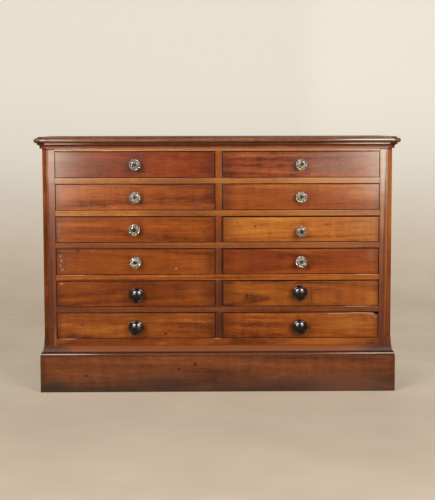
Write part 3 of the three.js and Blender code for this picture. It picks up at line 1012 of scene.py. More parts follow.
def rounded(bm: BMesh, edges: Sequence[BMEdge], radius: float,
            segments: int) -> None:
    """Rounds edges of a mesh.

    Args:
        bm: The mesh in the making.
        edges: The edges.
        radius: How much is taken off each.
        segments: The number of faces across the round.
    """
    bmesh.ops.bevel(bm, geom=edges, offset=radius, offset_type="OFFSET", segments=segments,
                    profile=0.5, affect="EDGES", clamp_overlap=True, material=-1)


def eased(bm: BMesh, radius: float, wanted: Callable[[BMEdge], bool],
          segments: int = 3) -> None:
    """Rounds the outward arrises of a mesh that a test picks.

    Args:
        bm: The mesh in the making.
        radius: How much is taken off each arris.
        wanted: Says whether an edge is rounded.
        segments: The number of faces across the round.
    """
    edges = [
        edge for edge in bm.edges
        if len(edge.link_faces) == 2 and edge.calc_face_angle_signed(0.0) > ARRIS_TURN
        and wanted(edge)
    ]
    rounded(bm, edges, radius, segments)


def combined(solid: BMesh, tool: BMesh,
             operation: str) -> BMesh:
    """Cuts one closed mesh with another.

    Args:
        solid: The mesh that is cut. It is freed.
        tool: The mesh that cuts it. It is freed.
        operation: INTERSECT, DIFFERENCE or UNION.

    Returns:
        The result as a new mesh in the making.
    """
    work, cutter = linked("work", mesh_of(solid, "work")), linked("tool", mesh_of(tool, "tool"))
    cutting = work.modifiers.new("cut", "BOOLEAN")
    cutting.operation, cutting.solver, cutting.object = operation, "EXACT", cutter
    shown = work.evaluated_get(bpy.context.evaluated_depsgraph_get())
    result = bmesh.new()
    result.from_mesh(shown.to_mesh())
    shown.to_mesh_clear()
    for helper in (work, cutter):
        mesh = helper.data
        bpy.data.objects.remove(helper)
        bpy.data.meshes.remove(mesh)
    return result


def block(low: Vector, high: Vector) -> BMesh:
    """A plain block between two corners, to be worked further.

    Args:
        low: Its lowest corner.
        high: Its highest corner.

    Returns:
        The block.
    """
    bm = bmesh.new()
    place = Matrix.Translation((low + high) / 2) @ Matrix.Diagonal((*(high - low), 1.0))
    bmesh.ops.create_cube(bm, size=1.0, matrix=place)
    return bm


def sliced(bm: BMesh, axis: int, places: Sequence[float]) -> None:
    """Adds edge loops across a mesh.

    Args:
        bm: The mesh in the making.
        axis: The axis that the loops cross.
        places: Where they lie along it.
    """
    normal = Vector((0.0, 0.0, 0.0))
    normal[axis] = 1.0
    for place in places:
        everything = [*bm.verts, *bm.edges, *bm.faces]
        bmesh.ops.bisect_plane(bm, geom=everything, plane_co=normal * place, plane_no=normal)


def turned(profile: Sequence[tuple[float, float]], middle: Vector,
           steps: int) -> BMesh:
    """A body turned on a lathe about the line from front to back.

    Args:
        profile: Its radii, each with its reach out of the middle towards the front.
        middle: The middle of the turning.
        steps: The number of faces round it.

    Returns:
        The closed body.
    """
    bm = bmesh.new()
    verts = [bm.verts.new((middle.x + radius, middle.y - reach, middle.z))
             for radius, reach in profile]
    edges = [bm.edges.new(pair) for pair in zip(verts, verts[1:])]
    bmesh.ops.spin(bm, geom=[*verts, *edges], cent=middle, axis=(0.0, 1.0, 0.0),
                   angle=math.tau, steps=steps, use_merge=True)
    bmesh.ops.remove_doubles(bm, verts=bm.verts, dist=WELD)
    bmesh.ops.recalc_face_normals(bm, faces=bm.faces)
    return bm


def curve_points(start: tuple[float, float], control: tuple[float, float],
                 end: tuple[float, float], count: int) -> list[tuple[float, float]]:
    """Points on a curve between two ends, without the first.

    Args:
        start: Where it starts.
        control: The point that draws it out.
        end: Where it ends.
        count: How many points are made.

    Returns:
        The points up to the end.
    """
    shares = [i / count for i in range(1, count + 1)]
    return [tuple((1 - t) ** 2 * a + 2 * t * (1 - t) * b + t ** 2 * c
                  for a, b, c in zip(start, control, end)) for t in shares]


# ---------------------------------------------------------------------------- knobs


@dataclass
class GlassKnob:
    """A cut glass head on a brass rose, held by an iron bolt with a nut inside the drawer.

    Attributes:
        drawer: The drawer's name, which its CAD body has too.
        middle: Where the knob meets the drawer front.
        turn: How far the head is turned on its bolt.
    """

    drawer: str
    middle: Vector
    turn: float
    sides: int = 8
    radius: float = 20.3 * MM
    reach: float = 34 * MM
    seat: float = 3.2 * MM
    neck_radius: float = 10 * MM
    neck_taper: float = 0.97
    neck_reach: float = 8.4 * MM
    back_share: float = 0.84
    back_step: float = 5 * MM
    girdle: float = 4 * MM
    crown: float = 8 * MM
    crown_share: float = 0.77
    crown_step: float = 2.4 * MM
    table_radius: float = 9.4 * MM
    table_sink: float = 1.5 * MM
    dish: float = 6.6 * MM
    dish_depth: float = 2.6 * MM
    bore: float = 3.2 * MM
    facet_arris: float = 0.25 * MM
    rose_radius: float = 13 * MM
    rose_height: float = 5 * MM
    rose_gap: float = 0.2 * MM
    rose_bead: float = 1.9 * MM
    bolt_radius: float = 2.8 * MM
    bolt_head: float = 5.2 * MM
    bolt_sink: float = 2.6 * MM
    bolt_end: float = 4.5 * MM
    bolt_point: float = 0.6 * MM
    screw_slot: tuple[float, float, float] = (6 * MM, 0.8 * MM, 0.45 * MM)
    nut_half: float = 5.6 * MM
    nut_gap: float = 0.3 * MM
    nut_thick: float = 3.6 * MM
    board: float = 20 * MM

    def head(self) -> BMesh:
        """The glass: rings of eight corners, each turned half a side past the last, so that the
        crown and the back are cut in three-cornered facets.

        Returns:
            The closed head.
        """
        girdle_front = self.reach - self.crown
        girdle_back = girdle_front - self.girdle
        table = self.reach - self.table_sink
        rings = [
            (self.bore, self.seat, 0.0),
            (self.neck_radius, self.seat, 0.0),
            (self.neck_radius * self.neck_taper, self.neck_reach, 0.0),
            (self.radius * self.back_share, girdle_back - self.back_step, 0.5),
            (self.radius, girdle_back, 0.0),
            (self.radius, girdle_front, 0.0),
            (self.radius * self.crown_share, table - self.crown_step, 0.5),
            (self.table_radius, table, 0.0),
            (self.dish, table, 0.0),
            (self.bore, table - self.dish_depth, 0.0),
            (self.bore, self.seat, 0.0),
        ]
        side = math.tau / self.sides
        bm = bmesh.new()
        ring = None
        for radius, reach, shift in rings:
            place = (Matrix.Translation(self.middle + Vector((0.0, -reach, 0.0)))
                     @ Matrix.Rotation(self.turn + shift * side, 4, "Y")
                     @ Matrix.Rotation(math.pi / 2, 4, "X"))
            made = bmesh.ops.create_circle(bm, segments=self.sides, radius=radius, matrix=place)
            edges = list({edge for vert in made["verts"] for edge in vert.link_edges})
            if ring is not None:
                bmesh.ops.bridge_loops(bm, edges=[*ring, *edges])
            ring = edges
        bmesh.ops.remove_doubles(bm, verts=bm.verts, dist=WELD)
        bmesh.ops.triangulate(bm, faces=[face for face in bm.faces if len(face.verts) == 4])
        bmesh.ops.dissolve_limit(bm, angle_limit=math.radians(0.5), verts=bm.verts, edges=bm.edges)
        bmesh.ops.recalc_face_normals(bm, faces=bm.faces)
        sharp = [edge for edge in bm.edges if edge.calc_face_angle(0.0) > math.radians(6)]
        rounded(bm, sharp, self.facet_arris, 2)
        return bm

    def rose(self) -> BMesh:
        """The brass rose against the drawer front, with a bead and a hollow.

        Returns:
            The closed rose.
        """
        top, bead, rim = self.rose_height, self.rose_bead, self.rose_radius
        hole = self.neck_radius + 0.2 * MM
        points = [(0.0, self.rose_gap), (rim, self.rose_gap), (rim, 0.9 * MM)]
        points += curve_points(points[-1], (rim, bead), (11.9 * MM, bead), 4)
        points += curve_points(points[-1], (11.4 * MM, bead), (11.2 * MM, top), 4)
        points += [(hole, top), (hole, 2.6 * MM), (0.0, 2.6 * MM)]
        return turned(points, self.middle, 40)

    def bolt(self) -> BMesh:
        """The bolt, with its slotted round head on the glass and its end in the drawer.

        Returns:
            The closed bolt.
        """
        seat, end = self.reach - self.bolt_sink, -self.board - self.bolt_end
        points = [(0.0, end), (self.bolt_radius - self.bolt_point, end),
                  (self.bolt_radius, end + self.bolt_point), (self.bolt_radius, seat),
                  (self.bolt_head, seat)]
        points += curve_points(points[-1], (4.9 * MM, self.reach), (0.0, self.reach), 6)
        wide, deep, high = self.screw_slot
        slot = block(self.middle + Vector((-wide, -self.reach - 1 * MM, -high)),
                     self.middle + Vector((wide, -self.reach + deep, high)))
        return combined(turned(points, self.middle, 20), slot, "DIFFERENCE")

    def nut(self) -> BMesh:
        """The square nut on the inside of the drawer front, with its corners off.

        Returns:
            The closed nut.
        """
        side, back = self.nut_half, self.board + self.nut_gap
        bm = block(self.middle + Vector((-side, back, -side)),
                   self.middle + Vector((side, back + self.nut_thick, side)))
        eased(bm, 0.8 * MM, lambda edge: True, 2)
        return bm

    def build(self) -> None:
        """Makes the four pieces of the knob."""
        name = self.drawer
        finished(self.head(), f"{name}_glass", name, GlassFinish().material(name),
                 f"{name}_knob", crease=5.0, weighted=False)
        for part, bm, metal in (("rose", self.rose(), BRASS), ("bolt", self.bolt(), IRON),
                                ("nut", self.nut(), IRON)):
            finished(bm, f"{name}_{part}", name, metal.material(f"{name} {part}"))


@dataclass
class TurnedKnob:
    """An ebonised knob: a foot, a neck, a bold ring, a groove and a low dome.

    Attributes:
        drawer: The drawer's name, which its CAD body has too.
        middle: Where the knob meets the drawer front.
    """

    drawer: str
    middle: Vector
    radius: float = 26.9 * MM
    reach: float = 44 * MM
    foot_radius: float = 15 * MM
    foot_height: float = 4 * MM
    neck_radius: float = 11.5 * MM
    rim_depth: float = 10 * MM
    ring_width: float = 5.5 * MM
    groove: float = 1.8 * MM
    ball: float = 36 * MM
    dome_steps: int = 14
    dowel_radius: float = 6.9 * MM
    dowel_ease: float = 0.8 * MM
    gap: float = 0.3 * MM
    board: float = 20 * MM

    def profile(self) -> list[tuple[float, float]]:
        """The turner's line.

        Returns:
            Its points, from the dowel's end to the middle of the dome.
        """
        foot, height, neck = self.foot_radius, self.foot_height, self.neck_radius
        front = self.reach - self.rim_depth
        back = front - self.rim_depth
        inner = self.radius - self.ring_width
        line = [(0.0, -self.board), (self.dowel_radius - self.dowel_ease, -self.board),
                (self.dowel_radius, -self.board + self.dowel_ease), (self.dowel_radius, self.gap),
                (foot - 0.6 * MM, self.gap)]
        for control, end, count in (
                ((foot, self.gap), (foot, height * 0.5), 4),
                ((foot, height), (foot - 1.4 * MM, height), 4),
                ((neck, height), (neck, back / 2), 8),
                ((neck, back), (self.radius - self.groove, back), 10),
                ((self.radius, back), (self.radius, back + self.rim_depth / 2), 6),
                ((self.radius, front), (inner + 1.0 * MM, front + self.groove), 10),
                ((inner, front + self.groove), (inner, front + 0.2 * MM), 3),
                ((inner, front - 0.6 * MM), (inner - 0.9 * MM, front + 0.6 * MM), 3)):
            line += curve_points(line[-1], control, end, count)
        return line + self.dome(line[-1][0] - 0.5 * MM)

    def dome(self, width: float) -> list[tuple[float, float]]:
        """The dome, a part of a ball that starts inside the groove.

        Args:
            width: Its radius.

        Returns:
            Its points, from its rim to the middle.
        """
        ball, steps = self.ball, self.dome_steps
        sweep = math.asin(width / ball)
        angles = (sweep * (1 - i / steps) for i in range(steps + 1))
        return [(ball * math.sin(a), self.reach - ball * (1 - math.cos(a))) for a in angles]

    def build(self) -> None:
        """Turns the knob."""
        name = self.drawer
        finished(turned(self.profile(), self.middle, 56), f"{name}_turned_knob", name,
                 EbonyFinish().material(name), f"{name}_knob", crease=40.0,
                 weighted=False)


# -------------------------------------------------------------------------- drawers


@dataclass(frozen=True)
class DrawerLook:
    """What sets one drawer apart from the others.

    Attributes:
        finish: The wood of its front.
        cut: How the front was taken from its log.
        marks: What use has left on it, with painted highlights, sheen and shadow on some.
        planed: How much has been planed off its top edge.
        chipped: Whether its upper right corner has broken away.
        set_back: How far the front stands behind the rails.
        turn: How far its glass knob is turned, in degrees.
    """

    finish: WoodFinish
    cut: Cut
    marks: tuple[Mark, ...] = ()
    planed: float = 0.0
    chipped: bool = False
    set_back: float = 0.4 * MM
    turn: float = 22.5


@dataclass
class Drawer:
    """One drawer: a worn front on a dovetailed tray, with its knob."""

    name: str
    kind: KnobKind
    look: DrawerLook
    arris: float = 1.5 * MM
    skin: float = 0.05 * MM
    worn_depth: float = 4 * MM
    edge: float = 2 * MM
    wear: float = 0.55 * MM
    wear_reach: float = 6 * MM
    wear_scale: float = 31.0
    slices: int = 22
    side_thick: float = 10.1 * MM

    def worn_block(self) -> BMesh:
        """The block that the front has been worn down to: rounded, uneven arrises, a planed top
        edge and a broken corner where this drawer has them.

        Returns:
            The closed block.
        """
        low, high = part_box(f"{self.name}_front")
        low = low + Vector((self.skin, self.look.set_back, self.skin))
        high = high + Vector((-self.skin, self.worn_depth, -self.skin - self.look.planed))
        bm = block(low, high)
        eased(bm, self.arris, lambda edge: all(vert.co.y < low.y + WELD for vert in edge.verts))
        step = (high.x - low.x) / self.slices
        sliced(bm, 0, [low.x + step * (i + 0.5) for i in range(self.slices)])
        sliced(bm, 2, [low.z + (high.z - low.z) * share for share in (0.25, 0.5, 0.75)])
        for vert in bm.verts:
            if vert.co.y > low.y + self.wear_reach:
                continue
            across, up = vert.co.x, vert.co.z
            if min(across - low.x, high.x - across, up - low.z, high.z - up) < self.edge:
                spot = vert.co * self.wear_scale + Vector((0.0, 0.0, 7.0))
                rub = 0.5 + 0.5 * noise.noise(spot)
                vert.co += self.inward(vert.co, low, high) * self.wear * max(rub, 0.0)
        if self.look.chipped:
            self.chip(bm, low, high)
        return bm

    def inward(self, place: Vector, low: Vector, high: Vector) -> Vector:
        """The way from an arris towards the middle of the board.

        Args:
            place: A point at an arris.
            low: The board's lowest corner.
            high: Its highest corner.

        Returns:
            The way, as a vector.
        """
        way = Vector((0.0, 0.6, 0.0))
        for axis in (0, 2):
            if place[axis] - low[axis] < self.edge:
                way[axis] = 1.0
            elif high[axis] - place[axis] < self.edge:
                way[axis] = -1.0
        return way

    @staticmethod
    def chip(bm: BMesh, low: Vector, high: Vector) -> None:
        """Breaks the upper right corner away along two rough slopes.

        Args:
            bm: The block.
            low: Its lowest corner.
            high: Its highest corner.
        """
        for width, way in ((21 * MM, (0.56, -0.34, 0.76)), (9 * MM, (0.80, -0.10, 0.42))):
            bmesh.ops.bisect_plane(
                bm, geom=[*bm.verts, *bm.edges, *bm.faces], clear_outer=True,
                plane_co=(high.x - width, low.y, high.z), plane_no=Vector(way).normalized())
            rim = [edge for edge in bm.edges if edge.is_boundary]
            filled = bmesh.ops.holes_fill(bm, edges=rim, sides=0)
            bmesh.ops.triangulate(bm, faces=filled["faces"])
        bmesh.ops.recalc_face_normals(bm, faces=bm.faces)

    def build(self) -> None:
        """Makes the front, dresses the tray and fits the knob."""
        node = f"{self.name}_front"
        low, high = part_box(node)
        middle, knob = (low + high) / 2, middle_of(f"{self.name}_knob")
        bm = combined(merged_copy(node), self.worn_block(), "INTERSECT")
        bmesh.ops.remove_doubles(bm, verts=bm.verts, dist=WELD)
        # The darker ends and the patch beside the knob are painted shade.
        marks = (*self.ends(high.x - middle.x), *self.look.marks, self.dirt_and_shade(knob - middle))
        wood = self.look.finish.material(self.name, single_board(node, self.look.cut),
                                         Front.of(node, marks, rim=0.75, rim_width=3.5 * MM))
        finished(bm, f"{self.name}_worn_front", self.name, wood, node)
        self.dress_tray()
        seat = Vector((knob.x, low.y, knob.z))
        if self.kind is KnobKind.GLASS:
            GlassKnob(self.name, seat, math.radians(self.look.turn)).build()
        else:
            TurnedKnob(self.name, seat).build()

    @property
    def inner(self) -> int:
        """The way to the middle of the cabinet: 1 to the right and -1 to the left."""
        return 1 if "_l" in self.name else -1

    def ends(self, half: float) -> tuple[Mark, Mark]:
        """The darker ends of the front: painted shade, with some dirt, where less light has reached
        it.

        Args:
            half: Half the length of the front.

        Returns:
            The shade at the end by the divider, and the shorter one at the post.
        """
        return (Mark(self.inner * half, 0.0, (0.060, 0.16), 0x44190A, 0.5, 0.4, 0.95),
                Mark(-self.inner * half, 0.0, (0.022, 0.16), 0x44200F, 0.45, 0.5, 0.9))

    def dirt_and_shade(self, knob: Vector) -> Mark:
        """The dark patch beside the knob, on the side of the middle of the cabinet: the knob's
        painted shadow, over polish that hands have reached least.

        Args:
            knob: The way from the middle of the front to the knob.

        Returns:
            The patch.
        """
        half = 0.026 if self.kind is KnobKind.GLASS else 0.033
        return Mark(knob.x + self.inner * 0.011, knob.z - 0.006, (half, half), 0x2C140C, 0.55, 0.3,
                    0.75)

    def dress_tray(self) -> None:
        """Gives the tray its pine: sides and back with their own grain, over a thin bottom."""
        node = f"{self.name}_tray"
        low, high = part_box(node)
        middle = (low + high) / 2
        seed = sum(map(ord, self.name))
        side = Cut(Grain.BACKWARD, (0.07, 0.03), (1.0, 0.8), seed * 0.37)
        room = Vector((MM, MM, MM))
        past_left = Vector((low.x + self.side_thick, high.y + MM, high.z + MM))
        past_right = Vector((high.x - self.side_thick, low.y - MM, low.z - MM))
        boards = [
            Region(Cut(Grain.ACROSS, (0.02, 0.11), (0.6, 0.9), seed * 0.61), middle),
            Region(side, Vector((low.x, middle.y, middle.z)), low - room, past_left),
            Region(side, Vector((high.x, middle.y, middle.z)), past_right, high + room),
        ]
        dress(node, PINE.material(node, boards))


# ----------------------------------------------------------------------------- case


# The runs of a moulding that goes round the front, each with its grain.
RUNS = {"left": Grain.BACKWARD, "front": Grain.ACROSS, "right": Grain.BACKWARD}


def near_front(edge: BMEdge) -> bool:
    """Whether an edge lies on the front plane of the case."""
    return all(vert.co.y < CASE_FRONT + FLUSH for vert in edge.verts)


def upright(edge: BMEdge) -> bool:
    """Whether an edge runs up a good part of a post."""
    return abs((edge.verts[0].co - edge.verts[1].co).z) > 50 * MM


@dataclass
class Casework:
    """Posts, rails, shelves, divider, sides and back of the case."""

    arris: float = 1.8 * MM
    upright_arris: float = 0.9 * MM
    rail_arris: float = 0.8 * MM
    side_arris: float = 1.0 * MM
    strip: float = 2.3 * MM
    strip_depth: float = 16 * MM
    back_count: int = 6

    def build(self) -> None:
        """Makes every piece of the case."""
        self.rails()
        self.shelves()
        self.posts()
        self.divider()
        self.sides()
        self.inside()

    def worked(self, node: str, finish: WoodFinish, cut: Cut, front: Front,
               radius: float | None = None,
               wanted: Callable[[BMEdge], bool] = near_front,
               reshape: Callable[[BMesh], None] | None = None) -> None:
        """A copy of a CAD node with eased arrises and its finish.

        Args:
            node: The CAD node.
            finish: Its wood.
            cut: How its board was taken from the log.
            front: Its show face.
            radius: How much is taken off the arrises, where it isn't the usual.
            wanted: Picks the arrises.
            reshape: Works the copy before its arrises are eased.
        """
        bm = merged_copy(node)
        if reshape is not None:
            reshape(bm)
        eased(bm, self.arris if radius is None else radius, wanted)
        material = finish.material(node, single_board(node, cut), front)
        finished(bm, f"{node}_worked", "case", material, node)

    def rails(self) -> None:
        """The rail over the drawers and the deep one under them."""
        self.worked("top_rail", TOP_RAIL, Cut(pith=(0.14, 0.05), lean=(0.0, 0.5), along=3.1),
                    Front.of("top_rail", TOP_RAIL_MARKS, TOP_RAIL_LINES))
        self.worked("bottom_rail", BOTTOM_RAIL,
                    Cut(pith=(0.12, -0.01), lean=(0.3, 1.4), along=5.2),
                    Front.of("bottom_rail", BOTTOM_RAIL_MARKS), radius=self.rail_arris)

    def shelves(self) -> None:
        """The shelves, whose front edges are the rails between the drawers."""
        for i, (finish, marks) in enumerate(zip(SHELF_FINISHES, SHELF_MARKS), start=1):
            node = f"drawer_shelf_{i}"
            cut = Cut(pith=(0.12 + 0.02 * i, 0.06), lean=(0.1 * i, 0.5), along=1.7 * i)
            self.worked(node, finish, cut, Front.of(node, marks))

    def posts(self) -> None:
        """The canted corner posts, with their lamb's tongue stops."""
        for side, along in (("left", 2.3), ("right", 7.9)):
            node = f"corner_post_{side}"
            front = Front.of(node, POST_MARKS[side], POST_LINES[side], rim=0.2, rim_width=3 * MM,
                             foot=0.9, foot_reach=0.6, foot_colour=0x5E280E, plane_tint=0xCCBAA6)
            self.worked(node, POST, Cut(Grain.UPRIGHT, (0.10, 0.03), (0.4, 0.3), along), front,
                        radius=self.upright_arris, wanted=upright)

    def divider(self) -> None:
        """The upright between the columns."""
        node = "centre_partition"
        front = Front.of(node, DIVIDER_MARKS, DIVIDER_LINES, foot=0.92, foot_reach=0.66,
                         foot_colour=0x4C1A06)
        self.worked(node, DIVIDER, Cut(Grain.UPRIGHT, (0.09, 0.05), (0.3, 0.5), 4.4), front,
                    radius=self.upright_arris, reshape=self.lipped)

    def lipped(self, bm: BMesh) -> None:
        """Thickens the divider's front edge on its right, as a strip let into the gap there, which
        takes painted shade and a painted reflection.

        Args:
            bm: The divider.
        """
        low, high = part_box("centre_partition")
        end = low.y + self.strip_depth
        sliced(bm, 1, [end])
        side = [face for face in bm.faces
                if face.normal.x > 0.99 and face.calc_center_median().x > high.x - CAD_WELD
                and face.calc_center_median().y < end]
        grown = bmesh.ops.extrude_face_region(bm, geom=side)
        moved = [item for item in grown["geom"] if isinstance(item, BMVert)]
        bmesh.ops.translate(bm, verts=moved, vec=(self.strip, 0.0, 0.0))
        bmesh.ops.delete(bm, geom=[face for face in side if face.is_valid], context="FACES")
        bmesh.ops.recalc_face_normals(bm, faces=bm.faces)

    def sides(self) -> None:
        """The two side boards."""
        for side, along in (("left", 11.3), ("right", 13.7)):
            node = f"side_panel_{side}"
            low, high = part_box(node)
            outer = low.x if side == "left" else high.x

            def on_outside(edge: BMEdge, outer: float = outer) -> bool:
                """Whether an edge lies on the outer face."""
                return all(abs(vert.co.x - outer) < FLUSH for vert in edge.verts)

            self.worked(node, SIDE, Cut(Grain.UPRIGHT, (0.05, 0.13), (0.9, 0.5), along),
                        Front.of(node, foot=0.35), self.side_arris, on_outside)

    def inside(self) -> None:
        """The back of pine boards, and the board under the lowest row."""
        low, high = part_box("back_boards")
        width = (high.x - low.x) / self.back_count
        boards = []
        for i in range(self.back_count):
            start = Vector((low.x + width * i, low.y - MM, low.z - MM))
            end = Vector((low.x + width * (i + 1), high.y + MM, high.z + MM))
            cut = Cut(Grain.UPRIGHT, (0.03 * (-1) ** i, 0.06 + 0.02 * i), (0.5 - 0.2 * i, 0.8),
                      3.3 * i)
            boards.append(Region(cut, (start + end) / 2, start, end))
        finished(merged_copy("back_boards"), "back_boards_worked", "case",
                 BACK_PINE.material("back_boards", boards), "back_boards")
        bottom = single_board("bottom_board", Cut(along=9.1))
        dress("bottom_board", PINE.material("bottom_board", bottom))


@dataclass
class Top:
    """The moulded top board and the cornice moulding under it."""

    def build(self) -> None:
        """Makes the top and its mouldings from merged copies of the solids."""
        node = "top_board"
        cut = Cut(pith=(0.25, 0.16), lean=(0.6, 0.9), along=6.6)
        material = TOP.material(node, single_board(node, cut),
                                Front.of(node, TOP_MARKS, TOP_LINES, dust=0.8))
        finished(merged_copy(node), f"{node}_worked", "case", material, node)
        for side, grain in RUNS.items():
            node = f"cornice_{side}"
            looks = (CORNICE_MARKS, CORNICE_LINES) if side == "front" else ()
            material = CORNICE.material(
                node, single_board(node, Cut(grain, (0.11, 0.05), (0.2, 0.4), 1.3)),
                Front.of(node, *looks))
            finished(merged_copy(node), f"{node}_worked", "case", material, node)


@dataclass
class Plinth:
    """The plinth: three moulded runs, a back board and two glue blocks."""

    floor_arris: float = 1.2 * MM

    def build(self) -> None:
        """Makes the show runs from merged copies and dresses the rest."""
        for side, grain in RUNS.items():
            node = f"plinth_{side}"
            looks = (PLINTH_MARKS, PLINTH_LINES) if side == "front" else ()
            material = PLINTH.material(
                node, single_board(node, Cut(grain, (0.13, 0.02), (0.5, 1.1), 8.2)),
                Front.of(node, *looks, foot=0.85))
            bm = merged_copy(node)
            eased(bm, self.floor_arris, lambda edge: all(v.co.z < FLUSH for v in edge.verts), 2)
            finished(bm, f"{node}_worked", "case", material, node)
        for node, grain in (("plinth_back", Grain.ACROSS), ("plinth_block_left", Grain.UPRIGHT),
                            ("plinth_block_right", Grain.UPRIGHT)):
            dress(node, BACK_PINE.material(node, single_board(node, Cut(grain, along=2.9))))


@dataclass
class BackNails:
    """Cut nails that hold the back boards."""

    head: float = 2.6 * MM
    boards: int = 6
    shares: tuple[float, float] = (0.2, 0.8)
    above_foot: float = 24 * MM
    below_head: float = 20 * MM
    stray: tuple[float, float] = (4 * MM, 3 * MM)

    def build(self) -> None:
        """Sets two rows of three nails in each board, their heads flush."""
        low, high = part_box("back_boards")
        width = (high.x - low.x) / self.boards
        profile = [(0.0, 0.6 * MM), (self.head, 0.6 * MM), (self.head, 0.25 * MM),
                   (self.head * 0.7, 0.03 * MM), (0.0, 0.0)]
        heights = (low.z + self.above_foot, (low.z + high.z) / 2, high.z - self.below_head)
        bm = bmesh.new()
        for i in range(self.boards):
            for share in self.shares:
                for height in heights:
                    wobble = noise.noise(Vector((i * 3.1, share * 5.0, height * 9.0)))
                    place = Vector((low.x + width * (i + share) + wobble * self.stray[0], high.y,
                                    height + wobble * self.stray[1]))
                    mesh = mesh_of(turned(profile, place, 10), "nail")
                    bm.from_mesh(mesh)
                    bpy.data.meshes.remove(mesh)
        finished(bm, "back_nails", "case", IRON.material("back nails"))


# ----------------------------------------------------------- woods of the show faces


TOP = WoodFinish("top mahogany", 0xAD7A56, 0x895A3E, 0x543528, contrast=1.6, dull=0.3,
                 polish=0.6, gloss=0.08, mottle=0.3, rubbed=0.3, worn=0xB98460, painted_sheen=0.08)
CORNICE = WoodFinish("cornice mahogany", 0xA65F3F, 0x81442A, 0x552B1C, contrast=1.2, dull=0.3,
                     polish=0.35, gloss=0.08, rubbed=0.2, worn=0xC08A62, painted_sheen=0.06)
# The top rail's colours are painted much paler than its wood, as painted light in place of the
# light that the cornice's shadow takes from it.
TOP_RAIL = WoodFinish("top rail mahogany", 0xFFCF9A, 0xF8AC70, 0xC27F4E, contrast=1.2, rubbed=0.4,
                      grime_and_shade=0.15, worn=0xE0B898)
BOTTOM_RAIL = WoodFinish("bottom rail mahogany", 0xB25F1C, 0x924512, 0x612B08, contrast=1.4,
                         mottle=0.35, grime_and_shade=0.25, rubbed=0.3, worn=0xB88A66)
POST = WoodFinish("post mahogany", 0xE6863B, 0xC06423, 0x843C13, contrast=1.2, mottle=0.15,
                  rubbed=0.35, worn=0xC89468)
DIVIDER = WoodFinish("divider mahogany", 0xC26B18, 0xA34F0D, 0x743206, contrast=1.1, rubbed=0.3)
SIDE = WoodFinish("side mahogany", 0x94502A, 0x763A1C, 0x48200F, contrast=1.6, mottle=0.3,
                  dull=0.36, polish=0.35)
PLINTH = WoodFinish("plinth mahogany", 0x9D592E, 0x7C4423, 0x522C17, ring=0.008, contrast=1.2,
                    mottle=0.45, dull=0.36, polish=0.08, gloss=0.2, grime_and_shade=0.25, rubbed=0.25,
                    worn=0xA88468)
SHELF_FINISHES = (
    WoodFinish("rail one", 0xCF8948, 0xB16A30, 0x874B1F, contrast=1.2, rubbed=0.7, worn=0xDDB898),
    WoodFinish("rail two", 0xCF863D, 0xB16526, 0x804518, contrast=1.2, rubbed=0.7, worn=0xD8B090),
    WoodFinish("rail three", 0xAE6934, 0x914E21, 0x663214, contrast=1.2, rubbed=0.6, worn=0xCFA284),
    WoodFinish("rail four", 0xC57225, 0xA55417, 0x71340C, contrast=1.2, rubbed=0.6, worn=0xC89A7C),
    WoodFinish("rail five", 0x98572D, 0x7E3F1B, 0x552810, contrast=1.2, rubbed=0.6, worn=0xB48A70),
)


def slanted(start: tuple[float, float], end: tuple[float, float], count: int,
            reach: tuple[float, float], colour: int, cover: float) -> tuple[Mark, ...]:
    """A leaning line of dirt, made of short marks.

    Args:
        start: Its first end, across and up from the middle of the face.
        end: Its other end.
        count: How many marks it has.
        reach: Half the width and half the height of each.
        colour: Its colour.
        cover: How much of it shows.

    Returns:
        The marks.
    """
    shares = [i / (count - 1) for i in range(count)]
    places = [[a + (b - a) * t for a, b in zip(start, end)] for t in shares]
    return tuple(Mark(*place, reach, colour, cover, 0.3, 0.5) for place in places)


def band(up: float, half: float, colour: int, cover: float, *other: float) -> Mark:
    """A mark all along a face, at a height from its middle and with half its own height."""
    return Mark(0.0, up, (ALL_ALONG, half), colour, cover, *other)


ALL_ALONG = 3.0
# Colours of painted highlights along the arrises of rails and fronts, and along beads and the nose.
PAINTED_ARRIS_HIGHLIGHT = 0xE4BC96
PAINTED_BEAD_HIGHLIGHT = 0xFFEFE4
BOTTOM_RAIL_MARKS = (
    Mark(-0.36, 0.0, (0.26, 0.03), 0x7C3A12, 0.45, 0.3, 0.9),
    Mark(0.36, 0.0, (0.24, 0.03), 0xD0762C, 0.5, 0.3, 0.9),
    Mark(-0.27, -0.006, (0.005, 0.004), 0x3A1C10, 0.7),
    Mark(-0.19, -0.006, (0.03, 0.008), 0xB87038, 0.35, 1.2, 0.9),
    Mark(-0.41, 0.001, (0.002, 0.009), 0x3A1C10, 0.5, 1.0, 0.6),
    Mark(0.129, 0.009, (0.016, 0.005), 0x3A1C10, 0.5, 1.0, 0.7),
    Mark(0.535, -0.009, (0.028, 0.01), 0x4A2012, 0.6, 0.9, 0.8),
    # Painted highlights along the top arris.
    Mark(-0.519, 0.0112, (0.034, 0.0016), PAINTED_ARRIS_HIGHLIGHT, 0.8, 0.9, 0.6),
    Mark(-0.003, 0.0112, (0.013, 0.0016), PAINTED_ARRIS_HIGHLIGHT, 0.7, 0.6, 0.6),
)
